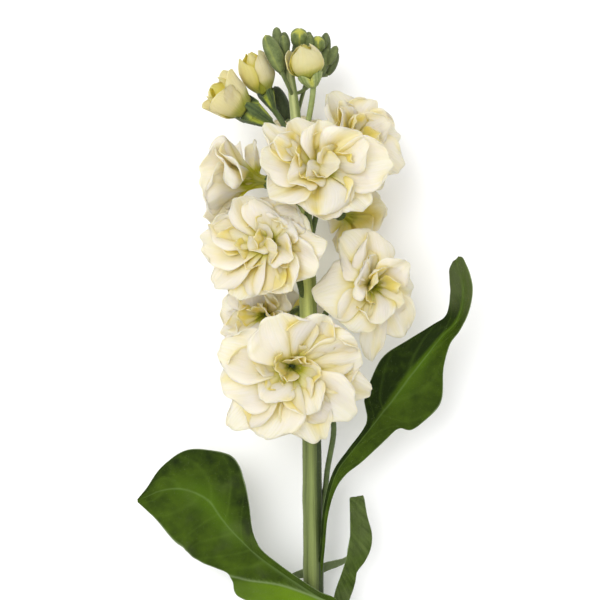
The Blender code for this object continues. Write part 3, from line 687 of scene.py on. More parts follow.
def depth_for_painted_shade(tree, petals, middle):
    """How much of a point's view outwards other petals cover, from 0 in the open to 1 deep inside."""
    here = position(tree)
    normal = placed(tree, "GeometryNodeInputNormal")
    outward = worked("NORMALIZE", here - middle)
    side = worked("SIGN", worked("DOT_PRODUCT", normal, outward) + 0.0001)
    facing = normal * side + outward * LOOK_OUTWARDS
    across = worked("CROSS_PRODUCT", facing, arrow(tree, 0.3, 0.5, 0.8))
    beside = worked("CROSS_PRODUCT", facing, across)
    covered = 0.0
    looks = ((0, 0), (LOOK_ASIDE, 0), (-LOOK_ASIDE, 0), (0, LOOK_ASIDE), (0, -LOOK_ASIDE))
    for aside, back in looks:
        ray = worked("NORMALIZE", facing + across * float(aside) + beside * float(back))
        hit = placed(tree, "GeometryNodeRaycast", Target_Geometry=petals, Source_Position=here + ray * SKIN,
                     Ray_Direction=ray, Ray_Length=OUTLOOK).socket.node
        reached = Term(tree, hit.outputs["Hit Distance"]) * (1.0 / OUTLOOK)
        covered = covered + Term(tree, hit.outputs["Is Hit"]) * (1.0 - reached)
    return placed(tree, "GeometryNodeBlurAttribute", {"data_type": "FLOAT"},
                  Value=covered * (1.0 / len(looks)), Iterations=3)


print("a look outwards reaches", round(OUTLOOK / MM, 1), "mm")

# %% [markdown]
# Now the tree is put together. It lays a grid on each loose point, bends it, presses it behind the
# borders and keeps it off the table. At the end only the values that the finish needs stay on the points.

# %% The petal tree
TABLE_MARGIN = 0.3
FOOT_HEIGHT = 0.12
BODY_HEIGHT = 3.0
PETAL_KINDS = {"turn": "FLOAT", "tilt": "FLOAT", "length": "FLOAT", "width": "FLOAT", "curl": "FLOAT",
               "height": "FLOAT", "radius": "FLOAT", "roll": "FLOAT", "phase": "FLOAT", "foot": "FLOAT",
               "number": "FLOAT", "youth": "FLOAT", "claw": "FLOAT", "beside": "FLOAT", "above": "FLOAT"}


def petal_grids(tree, given):
    """A flat grid for each point, as real faces, and the Terms of the place along and across it."""
    flat = placed(tree, "GeometryNodeMeshGrid", Size_X=1.0, Size_Y=1.0, Vertices_X=given["Rows"],
                  Vertices_Y=given["Columns"])
    corner = parts_of(position(tree))
    flat = stored(tree, flat, "along", corner[0] + 0.5, "FLOAT")
    flat = stored(tree, flat, "across", corner[1] + 0.5, "FLOAT")
    petals = placed(tree, "GeometryNodeInstanceOnPoints", Points=given["Geometry"], Instance=flat)
    petals = placed(tree, "GeometryNodeRealizeInstances", Geometry=petals)
    return petals, read(tree, "along"), read(tree, "across")


def without(tree, petals, kinds):
    """Leaves out the values that only the rule needed. The finish still reads youth and claw."""
    for name in [name for name in kinds if name not in ("youth", "claw")] + ["along", "across"]:
        petals = placed(tree, "GeometryNodeRemoveAttribute", Geometry=petals, Name=name)
    return petals


def petal_tree():
    tree, given = new_tree("petals_by_rule", {
        "Heart": "arrow", "Faces": "arrow", "Right": "arrow", "Up": "arrow", "Rows": "count",
        "Columns": "count", "Ruffle": "number", "Borders": "object", "Border Count": "count",
        "Shift": "arrow", "Finish": "finish"})
    petals, along, across = petal_grids(tree, given)
    petal = {name: read(tree, name) for name in PETAL_KINDS}
    place, crease = petal_place(tree, given, petal, along, across)
    borders = placed(tree, "GeometryNodeObjectInfo", Object=given["Borders"])
    borders = Term(tree, borders.socket.node.outputs["Geometry"])
    place = pressed_in(tree, place, borders, given["Border Count"], 1, True)
    place = pressed_in(tree, place, borders, given["Border Count"], 4, False)
    x, y, z = parts_of(place)
    over_table = softly_over(z - TABLE_MARGIN) + TABLE_MARGIN
    lying = worked("MAXIMUM", z, FOOT_HEIGHT)
    z = over_table * (1.0 - petal["foot"]) + lying * petal["foot"]
    place = (arrow(tree, x, y, z) + given["Shift"]) * MM
    # The crease is kept as fold, which the finish paints with warm painted shade.
    petals = stored(tree, petals, "fold", clamped(crease), "FLOAT")
    bent = placed(tree, "GeometryNodeSetPosition", Geometry=petals, Position=place)
    kept = stored(tree, bent, "petal_place", arrow(tree, along, across, petal["number"]))
    middle = (given["Heart"] + given["Faces"] * BODY_HEIGHT + given["Shift"]) * MM
    # The depth between petals, which the finish paints as shade.
    kept = stored(tree, kept, "depth", depth_for_painted_shade(tree, kept, middle), "FLOAT")
    end_tree(tree, without(tree, kept, PETAL_KINDS), given["Finish"])
    return tree


petals_by_rule = petal_tree()
print("the petal rule has", len(petals_by_rule.nodes), "nodes")

# %% [markdown]
# The blooms differ in size, stage and place. The table gives each bloom's heart, the way it faces, where its
# stalk leaves the stem and bends, and its petals, layer by layer, as turn, tilt, length, width and curl.
# LAYERS says how high and how far out on the receptacle each layer is rooted. Some blooms have two eyes, a
# longer claw or a closed heart. Blooms 5 and 8 show mostly shaded petals, and these are painted paler, a
# painted light. Blooms 9 and 10 lie on the table with the petals that FOOT_PETALS names. An opening bud
# needs only its place, its calyx and how far its petals reach.

# %% The blooms
LAYERS = {"outer": (1.0, 1.0), "inner": (1.8, 0.8), "tuft": (2.6, 0.5), "under": (0.5, 1.0)}
PETALS_MIDDLE = 5.0
BLOOMS = {
    1: dict(
        heart=(-2.4, -19.0, 33.5), faces=(0.0, -0.12, 0.99), stalk_from=-61.0,
        stalk_by=[(8.4, -52.0, 13.6), (10.2, -37.5, 18.0), (5.0, -28.0, 22.6)],
        outer=[(162, 90, 26, 15, 8), (194, 88, 25, 18, 14), (219, 96, 30, 12, 4), (249, 90, 26, 17, 10),
               (286, 97, 28, 14, 0), (319, 92, 27, 17, 6), (343, 98, 29, 12, 4), (6, 86, 25, 15, 10),
               (32, 82, 26, 16, 8)],
        inner=[(62, 72, 24, 14, 6), (105, 60, 24, 19, 14), (298, 64, 18, 12, 16), (228, 60, 16, 11, 14)],
        tuft=[(80, 22, 10, 6, -20), (250, 20, 9, 5, -12)]),
    2: dict(
        heart=(-7.0, 16.2, 33.6), faces=(-0.33, 0.05, 0.93), stalk_from=6.0,
        eyes=[(-3.8, -1.6), (2.4, 3.2)],
        outer=[(160, 88, 24, 13, 6), (183, 92, 25, 15, 4), (210, 94, 25, 11, 6), (234, 96, 24, 11, 6),
               (262, 86, 19, 14, 12), (296, 84, 19, 15, 12), (330, 86, 20, 14, 10), (10, 93, 22, 16, -2)],
        inner=[(112, 72, 22, 13, 8), (80, 62, 21, 13, 10), (42, 64, 18, 11, 12), (338, 52, 15, 10, 14)],
        tuft=[(150, 22, 9, 6, -16)], under=[(66, 88, 20, 17, 6), (34, 90, 18, 14, 6)]),
    3: dict(
        heart=(5.2, 37.8, 35.4), faces=(0.12, 0.06, 0.98), stalk_from=28.0,
        eyes=[(-3.4, 2.6), (3.6, 0.4)],
        outer=[(150, 98, 25, 9, 0), (175, 90, 22, 13, 6), (208, 88, 21, 13, 10), (285, 86, 18, 14, 10),
               (326, 88, 21, 13, 8), (4, 88, 26, 15, 6), (118, 90, 19, 12, 2)],
        inner=[(262, 76, 17, 16, 14), (40, 64, 19, 15, 10), (84, 68, 17, 13, 8), (200, 56, 14, 10, 16)],
        tuft=[(250, 22, 8, 5, -16)]),
    4: dict(
        heart=(13.6, 45.8, 22.4), faces=(0.46, 0.36, 0.78), stalk_from=36.0, stalk_by=[(6.4, 40.6, 17.4)],
        outer=[(112, 82, 19, 19, 10), (56, 84, 18, 13, 8), (18, 86, 19, 13, 12), (330, 90, 20, 12, 6),
               (290, 92, 20, 11, 4), (215, 84, 15, 13, 6)],
        inner=[(130, 50, 14, 11, 12), (30, 52, 14, 10, 14)]),
    5: dict(
        heart=(-8.8, 35.2, 25.2), faces=(-0.93, 0.12, 0.2), stalk_from=27.0, calyx=4.0,
        claw=0.24, closed=0.22, paler=0.7,
        outer=[(42, 44, 21, 20, 8), (352, 30, 25, 24, 4), (306, 36, 24, 22, 10), (212, 58, 22, 15, 8),
               (98, 78, 14, 16, 8), (28, 38, 22, 20, 8), (156, 58, 20, 15, 8)],
        inner=[(330, 20, 17, 15, 8)]),
    6: dict(
        heart=(11.4, 26.6, 13.2), faces=(0.74, -0.1, -0.66), stalk_from=21.0,
        outer=[(170, 76, 16, 12, 4), (226, 78, 14, 11, 6), (290, 84, 14, 12, 6), (10, 86, 14, 12, 4),
               (90, 82, 14, 12, 6)],
        inner=[(150, 46, 12, 9, 12), (330, 50, 11, 9, 10)]),
    7: dict(
        heart=(19.0, 4.8, 26.4), faces=(0.5, -0.08, 0.86), stalk_from=-7.0,
        outer=[(125, 108, 23, 18, 2), (100, 94, 19, 15, 4), (184, 108, 25, 18, 16), (228, 84, 21, 14, 12),
               (270, 98, 28, 9, 0), (312, 94, 22, 12, 6), (350, 86, 16, 13, 10)],
        inner=[(154, 62, 18, 13, 12), (46, 50, 15, 11, 10), (262, 56, 15, 11, 16)],
        tuft=[(140, 18, 8, 6, -16)]),
    8: dict(
        heart=(-9.0, -4.0, 17.0), faces=(-0.45, -0.2, 0.86), stalk_from=-13.0, paler=1.0,
        stalk_by=[(-3.6, -10.0, 12.6), (-6.6, -4.4, 8.6)],
        outer=[(62, 80, 15, 14, 6), (108, 82, 16, 14, 8), (158, 84, 16, 13, 10), (200, 90, 18, 10, 2),
               (256, 84, 15, 13, 6), (330, 84, 14, 13, 6)],
        inner=[(80, 50, 12, 10, 12), (230, 50, 12, 9, 12)]),
    9: dict(
        heart=(-2.4, -5.6, 8.3), faces=(-0.34, -0.36, -0.86), stalk_from=-6.0,
        outer=[(20, 84, 17, 13, -4), (92, 84, 18, 14, -4), (164, 84, 18, 13, -4), (236, 84, 17, 13, -4),
               (308, 84, 18, 14, -4)],
        inner=[(60, 74, 12, 9, 0), (220, 74, 12, 9, 0)]),
    10: dict(
        heart=(1.6, 45.0, 11.2), faces=(0.06, 0.42, -0.9), stalk_from=40.0,
        outer=[(20, 82, 16, 13, -4), (92, 118, 14, 12, 6), (164, 84, 17, 13, -4), (236, 82, 16, 13, -4),
               (308, 82, 17, 13, -4)],
        inner=[(60, 66, 12, 9, 0), (220, 66, 12, 9, 0)]),
}
FOOT_PETALS = {9: [3, 4], 10: [3, 4]}
BORDERS = {(2, 3): ((-0.6, 28.5, 38.5), (0.3, 0.55, 0.78)), (2, 7): ((3.0, 9.0, 32.0), (0.3, -0.35, -0.89))}
OPENING_BUDS = {
    1: dict(
        heart=(-17.0, 57.6, 27.4), faces=(-0.84, 0.48, 0.26), stalk_from=47.0,
        calyx=10.0, girth=1.6, point=2.6, reach=13.0),
    2: dict(
        heart=(-10.6, 62.8, 24.4), faces=(-0.42, 0.88, 0.2), stalk_from=49.0, stalk_by=[(-5.6, 54.0, 22.6)],
        calyx=6.0, girth=1.0, point=1.6, reach=13.0),
    3: dict(
        heart=(3.0, 66.4, 32.0), faces=(-0.26, 0.92, 0.25), stalk_from=47.0,
        stalk_by=[(2.6, 54.0, 28.8), (3.6, 59.6, 30.0)],
        calyx=3.6, girth=1.5, point=0.7, reach=11.5, pale=True),
}


def bloom_frame(bloom):
    """Where a bloom's receptacle is, where it faces, and its right and up directions."""
    faces = Vector(bloom["faces"]).normalized()
    up = (Vector((0, 1, 0)) - faces * faces.y).normalized()
    return Vector(bloom["heart"]), faces, up.cross(faces), up


def bloom_reach(bloom):
    """The length of the longest petal."""
    return bloom["reach"] if "reach" in bloom else max(petal[2] for petal in bloom["outer"])


def bloom_body(bloom):
    """A point in the middle of a bloom's petals."""
    heart, faces, _, _ = bloom_frame(bloom)
    return heart + faces * PETALS_MIDDLE


print(len(BLOOMS), "blooms and", len(OPENING_BUDS), "opening buds")

# %% [markdown]
# A border is a flat plane between two neighbours, nearer the smaller one, or where BORDERS states it for
# a pair. Both neighbours stay behind the same plane, so their petals don't cross. One more lies along
# the stem. They are kept as loose points with an inward direction, which the petal rule reads one after
# another.

# %% Borders between blooms
CELL_SOFTNESS = 1.4
STEM_SOFTNESS = 0.9
RIB_DEPTH = 0.05


def borders_of(bloom):
    """The planes that a bloom's petals stay behind, as rows of place, inward direction and softness."""
    middle = bloom_body(bloom)
    flowers = list(BLOOMS.values()) + list(OPENING_BUDS.values())
    neighbours = [other for other in flowers if other is not bloom]
    rows = []
    for pair, (point, normal) in BORDERS.items():
        first_one, second_one = [BLOOMS[number] for number in pair]
        if bloom is first_one or bloom is second_one:
            neighbours.remove(second_one if bloom is first_one else first_one)
            inward = Vector(normal).normalized() * (-1 if bloom is first_one else 1)
            rows.append({"place": Vector(point), "inward": inward, "softness": CELL_SOFTNESS})
    for other in neighbours:
        away = bloom_body(other) - middle
        room = bloom_reach(bloom) + bloom_reach(other)
        if away.length < room:
            share = bloom_reach(bloom) / room
            rows.append({"place": middle + away * share, "inward": -away.normalized(),
                         "softness": CELL_SOFTNESS})
    axis = stem_point(middle.y)
    out = middle - axis
    out.y = 0
    out.normalize()
    reach = stem_radius(middle.y) * (1 + RIB_DEPTH)
    rows.append({"place": axis + out * reach, "inward": out, "softness": STEM_SOFTNESS})
    return rows


print("the front bloom has", len(borders_of(BLOOMS[1])), "borders")

# %% [markdown]
# A double bloom has more petals than its outer layers show: the heart is full of small ones, still
# curled. They are placed by the golden angle, as plants do it, so none lies behind the one before, and
# each is a little smaller and steeper than the last.

# %% Petals of a bloom
GOLDEN_ANGLE = 137.5
HEART_PETALS = 9
ROLLS = (14.0, 4.0, 18.0, 9.0, -4.0, 16.0, 6.0)
STAGGER = 0.5
OVERLAP = 1.12
TUFT_YOUTH = 0.4
CLAW_LENGTH = 0.06
HEART_CLAW_LENGTH = 0.12
COLOUR_STEP = 1.7
PETAL_THICKNESS = 0.2
PETAL_GRID = (26, 19)
RUFFLE_DEPTH = 0.085


def layer_rows(bloom, feet):
    """The petals of the table. Every second one of a layer is rooted a little higher."""
    rows = []
    for layer, (height, radius) in LAYERS.items():
        # Painted light: a bloom whose petals lie in shade has them painted paler.
        youth = TUFT_YOUTH if layer == "tuft" else -bloom.get("paler", 0.0)
        for k, (turn, tilt, length, width, curl) in enumerate(bloom.get(layer, ())):
            rows.append({"turn": turn, "tilt": tilt, "length": length, "width": width * OVERLAP,
                         "curl": curl, "height": height + STAGGER * (k % 2), "radius": radius,
                         "roll": ROLLS[len(rows) % len(ROLLS)], "phase": 2.4 * k + 0.7 * turn,
                         "foot": float(layer == "outer" and k in feet), "youth": youth,
                         "claw": bloom.get("claw", CLAW_LENGTH), "beside": 0.0, "above": 0.0})
    return rows


def heart_rows(bloom):
    """The small petals round a bloom's eyes."""
    rows = []
    eyes = bloom.get("eyes", [(0.0, 0.0)])
    for k in range(HEART_PETALS):
        share = k / (HEART_PETALS - 1)
        beside, above = eyes[k % len(eyes)]
        rows.append({"turn": bloom["outer"][0][0] + GOLDEN_ANGLE * k, "beside": beside, "above": above,
                     "tilt": (66 - 34 * share + 7 * math.sin(2.3 * k)) * bloom.get("closed", 1.0),
                     "length": 13.5 - 4.0 * share + 1.2 * math.sin(1.7 * k + 1),
                     "width": 9.5 - 3.0 * share, "curl": -4 - 26 * share + 16 * math.sin(3.1 * k),
                     "height": 2.0 + 0.9 * share, "radius": 1.1 - 0.3 * share,
                     "roll": 10.0 + 12 * math.sin(1.9 * k), "phase": 5.1 * k + 0.3, "foot": 0.0,
                     "youth": 0.7 * share, "claw": HEART_CLAW_LENGTH})
    return rows


def petal_rows(bloom, feet):
    rows = layer_rows(bloom, feet) + heart_rows(bloom)
    for k, row in enumerate(rows):
        row["number"] = k * COLOUR_STEP
    return rows


def give_thickness(petals):
    wall = petals.modifiers.new("thickness", "SOLIDIFY")
    wall.thickness = PETAL_THICKNESS * MM
    wall.offset = 0.0


def grow_petals(number, bloom):
    """Makes a bloom's petals as one piece, and returns how many faces they have."""
    name = f"bloom_{number}_petals"
    heart, faces, right, up = bloom_frame(bloom)
    roots = points_object(name, petal_rows(bloom, FOOT_PETALS.get(number, ())), PETAL_KINDS)
    border_rows = borders_of(bloom)
    borders = points_object(name + "_borders", border_rows, {"inward": "FLOAT_VECTOR", "softness": "FLOAT"})
    apply_tree(roots, petals_by_rule, Heart=heart, Faces=faces, Right=right, Up=up, Rows=PETAL_GRID[0],
               Columns=PETAL_GRID[1], Ruffle=RUFFLE_DEPTH, Borders=borders,
               Border_Count=len(border_rows), Shift=FRAME_SHIFT, Finish=petal_cream)
    give_thickness(roots)
    made = made_plain(roots, name + "_fine")
    bpy.data.objects.remove(borders)
    hand_over(made, name)
    return len(made.data.polygons)


count = sum(grow_petals(number, bloom) for number, bloom in BLOOMS.items())
print("the petals have", count, "faces")

# %% [markdown]
# In an opening bud the petals are still wrapped round each other like the skins of an egg, and only the
# outer ones stand off at their tips. Each is a patch of an egg shape, a little further out than the one
# that it covers. The tree reads each patch's turn, half-width, distance and openness from loose points.
# One fresh petal of the second bud is a stronger yellow.

# %% Opening buds
WRAP_KINDS = {"turn": "FLOAT", "half": "FLOAT", "out": "FLOAT", "open": "FLOAT", "phase": "FLOAT",
              "number": "FLOAT", "youth": "FLOAT"}
WRAPS = {
    1: dict(
        length=12.0, girth=4.4, start=0.27,
        petals=[(95, 62, 1.1, 0.62), (20, 56, 0.9, 0.8), (215, 60, 0.8, 0.5), (310, 62, 0.7, 0.72),
                (150, 58, 0.5, 0.4), (60, 60, 0.2, 0.2), (250, 70, 0.1, 0.1), (0, 80, -0.5, 0.0),
                (180, 80, -0.7, -0.1)]),
    2: dict(
        length=12.6, girth=4.2, start=0.12, fresh=2,
        petals=[(28, 64, 0.9, 0.12), (140, 66, 0.7, 0.1), (262, 64, 0.5, 0.14), (330, 60, 0.1, -0.04),
                (90, 70, 0.1, -0.05), (20, 90, -0.3, -0.1), (180, 90, -0.5, -0.15)]),
    3: dict(
        length=9.6, girth=4.5, start=0.16,
        petals=[(185, 48, 0.9, 0.24), (40, 90, 0.6, -0.06), (290, 80, 0.5, -0.08), (150, 80, 0.3, -0.08),
                (90, 90, 0.0, -0.12), (250, 90, -0.3, -0.2), (0, 90, -0.5, -0.25)]),
}
WRAP_GRID = (26, 17)
EGG_END = 0.87
EGG_BLUNTNESS = 0.85
SPIRAL = 18.0


def wrapped_tree():
    tree, given = new_tree("wrapped_petals", {
        "Heart": "arrow", "Faces": "arrow", "Right": "arrow", "Up": "arrow", "Rows": "count",
        "Columns": "count", "Length": "number", "Girth": "number", "Start": "number", "Shift": "arrow",
        "Finish": "finish"})
    petals, along, across = petal_grids(tree, given)
    petal = {name: read(tree, name) for name in WRAP_KINDS}
    v = across * 2.0 - 1.0
    ragged = noise(tree, arrow(tree, along * 2.4, v * 1.6, petal["phase"] * 3.1), 1.0, 1.0)
    reach = along * (1.0 - v * v * along * along * 0.14 + ragged * along * RAGGED_TIP)
    tip = worked("MAXIMUM", (along - 0.6) / 0.4, 0.0)
    half = petal["half"] * (0.6 + 0.4 * eased(along / 0.4)) * worked("SQRT", 1.0 - tip * tip * 0.75)
    turn = (petal["turn"] + v * half + reach * SPIRAL) * RADIAN
    round_egg = sine((given["Start"] + reach * (EGG_END - given["Start"])) * math.pi)
    egg = worked("POWER", round_egg, EGG_BLUNTNESS) * given["Girth"]
    wrinkles = noise(tree, arrow(tree, along * 5.0, v * 4.0, petal["phase"] * 2.3), 1.0, 3.0)
    over = (petal["out"] + v * 0.35 + ragged * 0.5 * along + wrinkles * 0.28) * eased(along / 0.35)
    flare = petal["open"] * given["Girth"] * 1.3 * reach * reach * (0.6 + reach * 0.6)
    radius = egg + over + flare
    height = reach * given["Length"] - 0.6 - flare * 0.25
    outward = given["Right"] * cosine(turn) + given["Up"] * sine(turn)
    place = (given["Heart"] + given["Faces"] * height + outward * radius + given["Shift"]) * MM
    bent = placed(tree, "GeometryNodeSetPosition", Geometry=petals, Position=place)
    kept = stored(tree, bent, "petal_place", arrow(tree, along, across, petal["number"]))
    # The edges of each wrapped petal count as a fold, which the finish paints warm as painted shade in the
    # seams.
    kept = stored(tree, kept, "fold", eased((v * v - 0.5) / 0.5) * 0.5, "FLOAT")
    middle = (given["Heart"] + given["Shift"]) * MM
    kept = stored(tree, kept, "depth", depth_for_painted_shade(tree, kept, middle), "FLOAT")
    end_tree(tree, without(tree, kept, WRAP_KINDS), given["Finish"])
    return tree


def grow_wrapped(number, bud):
    heart, faces, right, up = bloom_frame(bud)
    wrap = WRAPS[number]
    rows = [{"turn": turn, "half": half, "out": out, "open": opened, "phase": 2.4 * k + number,
             "number": COLOUR_STEP * k, "youth": 1.4 * (0.9 - out) + 0.7 * (k == wrap.get("fresh"))}
            for k, (turn, half, out, opened) in enumerate(wrap["petals"])]
    name = f"opening_bud_{number}_petals"
    roots = points_object(name + "_roots", rows, WRAP_KINDS)
    apply_tree(roots, wrapped_petals, Heart=heart, Faces=faces, Right=right, Up=up, Rows=WRAP_GRID[0],
               Columns=WRAP_GRID[1], Length=wrap["length"], Girth=wrap["girth"], Start=wrap["start"],
               Shift=FRAME_SHIFT, Finish=bud_cream)
    give_thickness(roots)
    made = made_plain(roots, name + "_fine")
    hand_over(made, name)
    return len(made.data.polygons)


wrapped_petals = wrapped_tree()
count = sum(grow_wrapped(number, bud) for number, bud in OPENING_BUDS.items())
print("the opening buds have", count, "faces")

# %% [markdown]
# A stem, a stalk, a calyx and a bud are all tubes, with another radius at each row. A second tree turns
# a plain cylinder into any of them: its rows go to loose points that carry the row's directions and
# radius, and its columns go round. Ribs, grooves between sepals and pointed sepal tips are sums of the
# angle round the tube.

# %% The tube rule
ROW_KINDS = {"side": "FLOAT_VECTOR", "beside": "FLOAT_VECTOR", "radius": "FLOAT", "tip": "FLOAT",
             "groove": "FLOAT", "rib": "FLOAT"}
SEPAL_GROOVE = 0.16


def tube_tree():
    tree, given = new_tree("tubes_by_rule", {
        "Rows": "count", "Columns": "count", "Ribs": "number", "Sepals": "number", "Point": "number",
        "Bumps": "number", "Shift": "arrow", "Finish": "finish"})
    tube = placed(tree, "GeometryNodeMeshCylinder", {"fill_type": "NGON"}, Vertices=given["Columns"],
                  Side_Segments=given["Rows"] - 1.0, Radius=1.0, Depth=1.0)
    x, y, z = parts_of(position(tree))
    along = z + 0.5
    row = worked("ROUND", along * (given["Rows"] - 1.0))
    angle = worked("ARCTAN2", y, x)

    def sampled(name, kind):
        value = position(tree) if name == "position" else read(tree, name, kind)
        return placed(tree, "GeometryNodeSampleIndex", {"data_type": kind}, Geometry=given["Geometry"],
                      Value=value, Index=row)

    side, beside = sampled("side", "FLOAT_VECTOR"), sampled("beside", "FLOAT_VECTOR")
    out = side * cosine(angle) + beside * sine(angle)
    ahead = worked("CROSS_PRODUCT", side, beside)
    turns = angle * given["Sepals"] / (2 * math.pi) + 0.5
    slope = 1.0 - worked("ABSOLUTE", worked("FLOORED_MODULO", turns, 1.0) * 2.0 - 1.0)
    tube = stored(tree, tube, "tube_place", arrow(tree, along, angle / (2 * math.pi) + 0.5, slope))
    tube = stored(tree, tube, "cup", sampled("groove", "FLOAT") * (1.0 / SEPAL_GROOVE), "FLOAT")
    sepal = worked("POWER", sine(slope * math.pi / 2), given["Point"])
    ribbed = 1.0 + cosine(angle * given["Ribs"]) * sampled("rib", "FLOAT")
    ribbed = ribbed + cosine(angle * given["Ribs"] * 3.0 + 1.0) * sampled("rib", "FLOAT") * 0.3
    grooved = 1.0 - gaussian(slope, 0.16) * sampled("groove", "FLOAT")
    centre = sampled("position", "FLOAT_VECTOR")
    bumps = noise(tree, centre * 0.16 + out * 0.6, 1.0, 2.0) * given["Bumps"]
    radius = sampled("radius", "FLOAT") * ribbed * grooved + bumps
    place = centre + out * radius + ahead * (sampled("tip", "FLOAT") * sepal)
    bent = placed(tree, "GeometryNodeSetPosition", Geometry=tube, Position=(place + given["Shift"]) * MM)
    end_tree(tree, bent, given["Finish"])
    return tree


def rows_along(path, radii, start=None, rib=0.0):
    """A tube's rows square to a path: dictionaries of place, directions and radius."""
    rows = []
    across = start or Vector((0, 0, 1))
    for i, point in enumerate(path):
        ahead = path[min(i + 1, len(path) - 1)] - path[max(i - 1, 0)]
        ahead.normalize()
        across = (across - ahead * across.dot(ahead)).normalized()
        rows.append({"place": point, "side": across, "beside": ahead.cross(across), "radius": radii[i],
                     "tip": 0.0, "groove": 0.0, "rib": rib})
    return rows


def make_tube(name, rows, columns, finish, ribs=6.0, sepals=4.0, point=1.0, bumps=0.0):
    source = points_object(name + "_rows", rows, ROW_KINDS)
    apply_tree(source, tubes_by_rule, Rows=len(rows), Columns=columns, Ribs=ribs, Sepals=sepals,
               Point=point, Bumps=bumps, Shift=FRAME_SHIFT, Finish=finish)
    return made_plain(source, name)


tubes_by_rule = tube_tree()
print("the tube rule has", len(tubes_by_rule.nodes), "nodes")

# %% [markdown]
# The greens are all felted with tiny branched hairs, which makes them a little grey and soft at their edges.
# So each green is a fine mottle with a sheen. The stem is streaked lengthwise and paler on its ribs. Its
# lighting is painted on too: a painted highlight band along its middle, a pale painted highlight down its
# left side and painted shade down its right side. Among the blooms it is painted a brighter yellow green, a
# painted light where the blooms shade it.

# %% Green finishes
HAIRY_SHEEN = (0.85, 0.9, 0.75, 1.0)
GRAIN_HEIGHT = 0.0001


def felted(shader, tree, colour, roughness, sheen, grain_height):
    feed(tree, shader.inputs["Base Color"], colour)
    shader.inputs["Roughness"].default_value = roughness
    shader.inputs["Specular IOR Level"].default_value = 0.3
    shader.inputs["Sheen Weight"].default_value = sheen
    shader.inputs["Sheen Roughness"].default_value = 0.5
    shader.inputs["Sheen Tint"].default_value = HAIRY_SHEEN
    bumped(tree, shader, grain_height, GRAIN_HEIGHT)


def stem_finish(name, light, dark, pale, fresh=None):
    """A streaked stalk, with painted highlights and painted shade. Where fresh is given, the stretch between
    the blooms is painted that brighter green, a painted light where the blooms shade it.
    """
    finish, tree, shader = new_finish(name)
    along, around, _ = parts_of(attribute(tree, "tube_place"))
    young = eased((along - 0.92) / 0.06)
    streaks = noise(tree, arrow(tree, along * 14.0, around * 46.0, 0.0), 1.0, 3.0)
    ribs = cosine(around * (2 * math.pi * 6.0)) * 0.5
    grain = noise(tree, object_place(tree) * 3500.0, 1.0, 2.0)
    # Painted shade down the right side of the tube and a painted highlight band near its top.
    painted_shade_side = eased((around - 0.57) / 0.05) * (1.0 - eased((around - 0.86) / 0.08))
    painted_highlight_band = gaussian(around - 0.46, 0.06)
    share = clamped(0.56 + streaks * 0.5 - ribs * 0.3 + grain * 0.12 + painted_shade_side * 0.6 - painted_highlight_band * 0.45
                    - young * 0.4)
    body = mixed(tree, share, light, dark)
    if fresh:
        # Painted light: the stretch among the blooms is painted brighter against their shade.
        painted_light_among_blooms = eased((along - 0.6) / 0.06) * (1.0 - eased((along - 0.86) / 0.06))
        body = mixed(tree, painted_light_among_blooms, body, mixed(tree, share, fresh, light))
    # A pale painted highlight down the left side of the tube.
    painted_side_highlight = gaussian(around - 0.3, 0.05) * (0.4 + streaks * 0.4)
    felted(shader, tree, mixed(tree, clamped(painted_side_highlight), body, pale), 0.5, 0.05, grain * 0.5 + streaks)
    return finish


def green_finish(name, light, dark, groove_green):
    """A stalk with its calyx: dark felted sepals, and bright tissue in the grooves between them."""
    finish, tree, shader = new_finish(name)
    _, around, slope = parts_of(attribute(tree, "tube_place"))
    cup = parts_of(attribute(tree, "cup"))[0]
    mottle = noise(tree, object_place(tree) * 600.0, 1.0, 3.0)
    grain = noise(tree, object_place(tree) * 4200.0, 1.0, 1.0)
    lines = cosine(around * (2 * math.pi * 20.0)) * 0.5
    share = clamped(0.5 + mottle * 0.5 + (slope - 0.6) * cup + lines * 0.45 + grain * 0.2)
    body = mixed(tree, share, light, dark)
    groove = (1.0 - eased((slope - 0.1 + mottle * 0.12) / 0.34)) * cup
    felted(shader, tree, mixed(tree, clamped(groove), body, groove_green), 0.6, 0.06, grain + mottle)
    return finish


stem_green = stem_finish("stem_green", light=(0.19, 0.235, 0.065), dark=(0.023, 0.038, 0.005),
                         pale=(0.24, 0.28, 0.13), fresh=(0.6, 0.68, 0.24))
young_green = stem_finish("young_green", light=(0.46, 0.5, 0.21), dark=(0.16, 0.2, 0.06),
                          pale=(0.5, 0.53, 0.34))
calyx_green = green_finish("calyx_green", light=(0.12, 0.17, 0.045), dark=(0.04, 0.062, 0.02),
                           groove_green=(0.38, 0.44, 0.05))
calyx_pale = green_finish("calyx_pale", light=(0.36, 0.41, 0.16), dark=(0.15, 0.2, 0.05),
                          groove_green=(0.5, 0.52, 0.1))
print("green finishes:", stem_green.name, young_green.name, calyx_green.name, calyx_pale.name)

# %% [markdown]
# The main stem runs from the cut end, where a small flat lies on the table, to the bud head. It has six
# soft ribs, and it swells a little at its nodes, where leaves and stalks leave it or came off. A bent
# cylinder would be too plain, so it is a tube with many rows.

# %% Main stem
STEM_ROWS = 160
STEM_COLUMNS = 72
STEM_NODES = (-112.0, -104.0, -82.0, -61.0, -13.0, 6.0, 28.0, 40.0)
NODE_SWELL, NODE_REACH = 0.16, 3.2
RIB_ROOM = 0.985


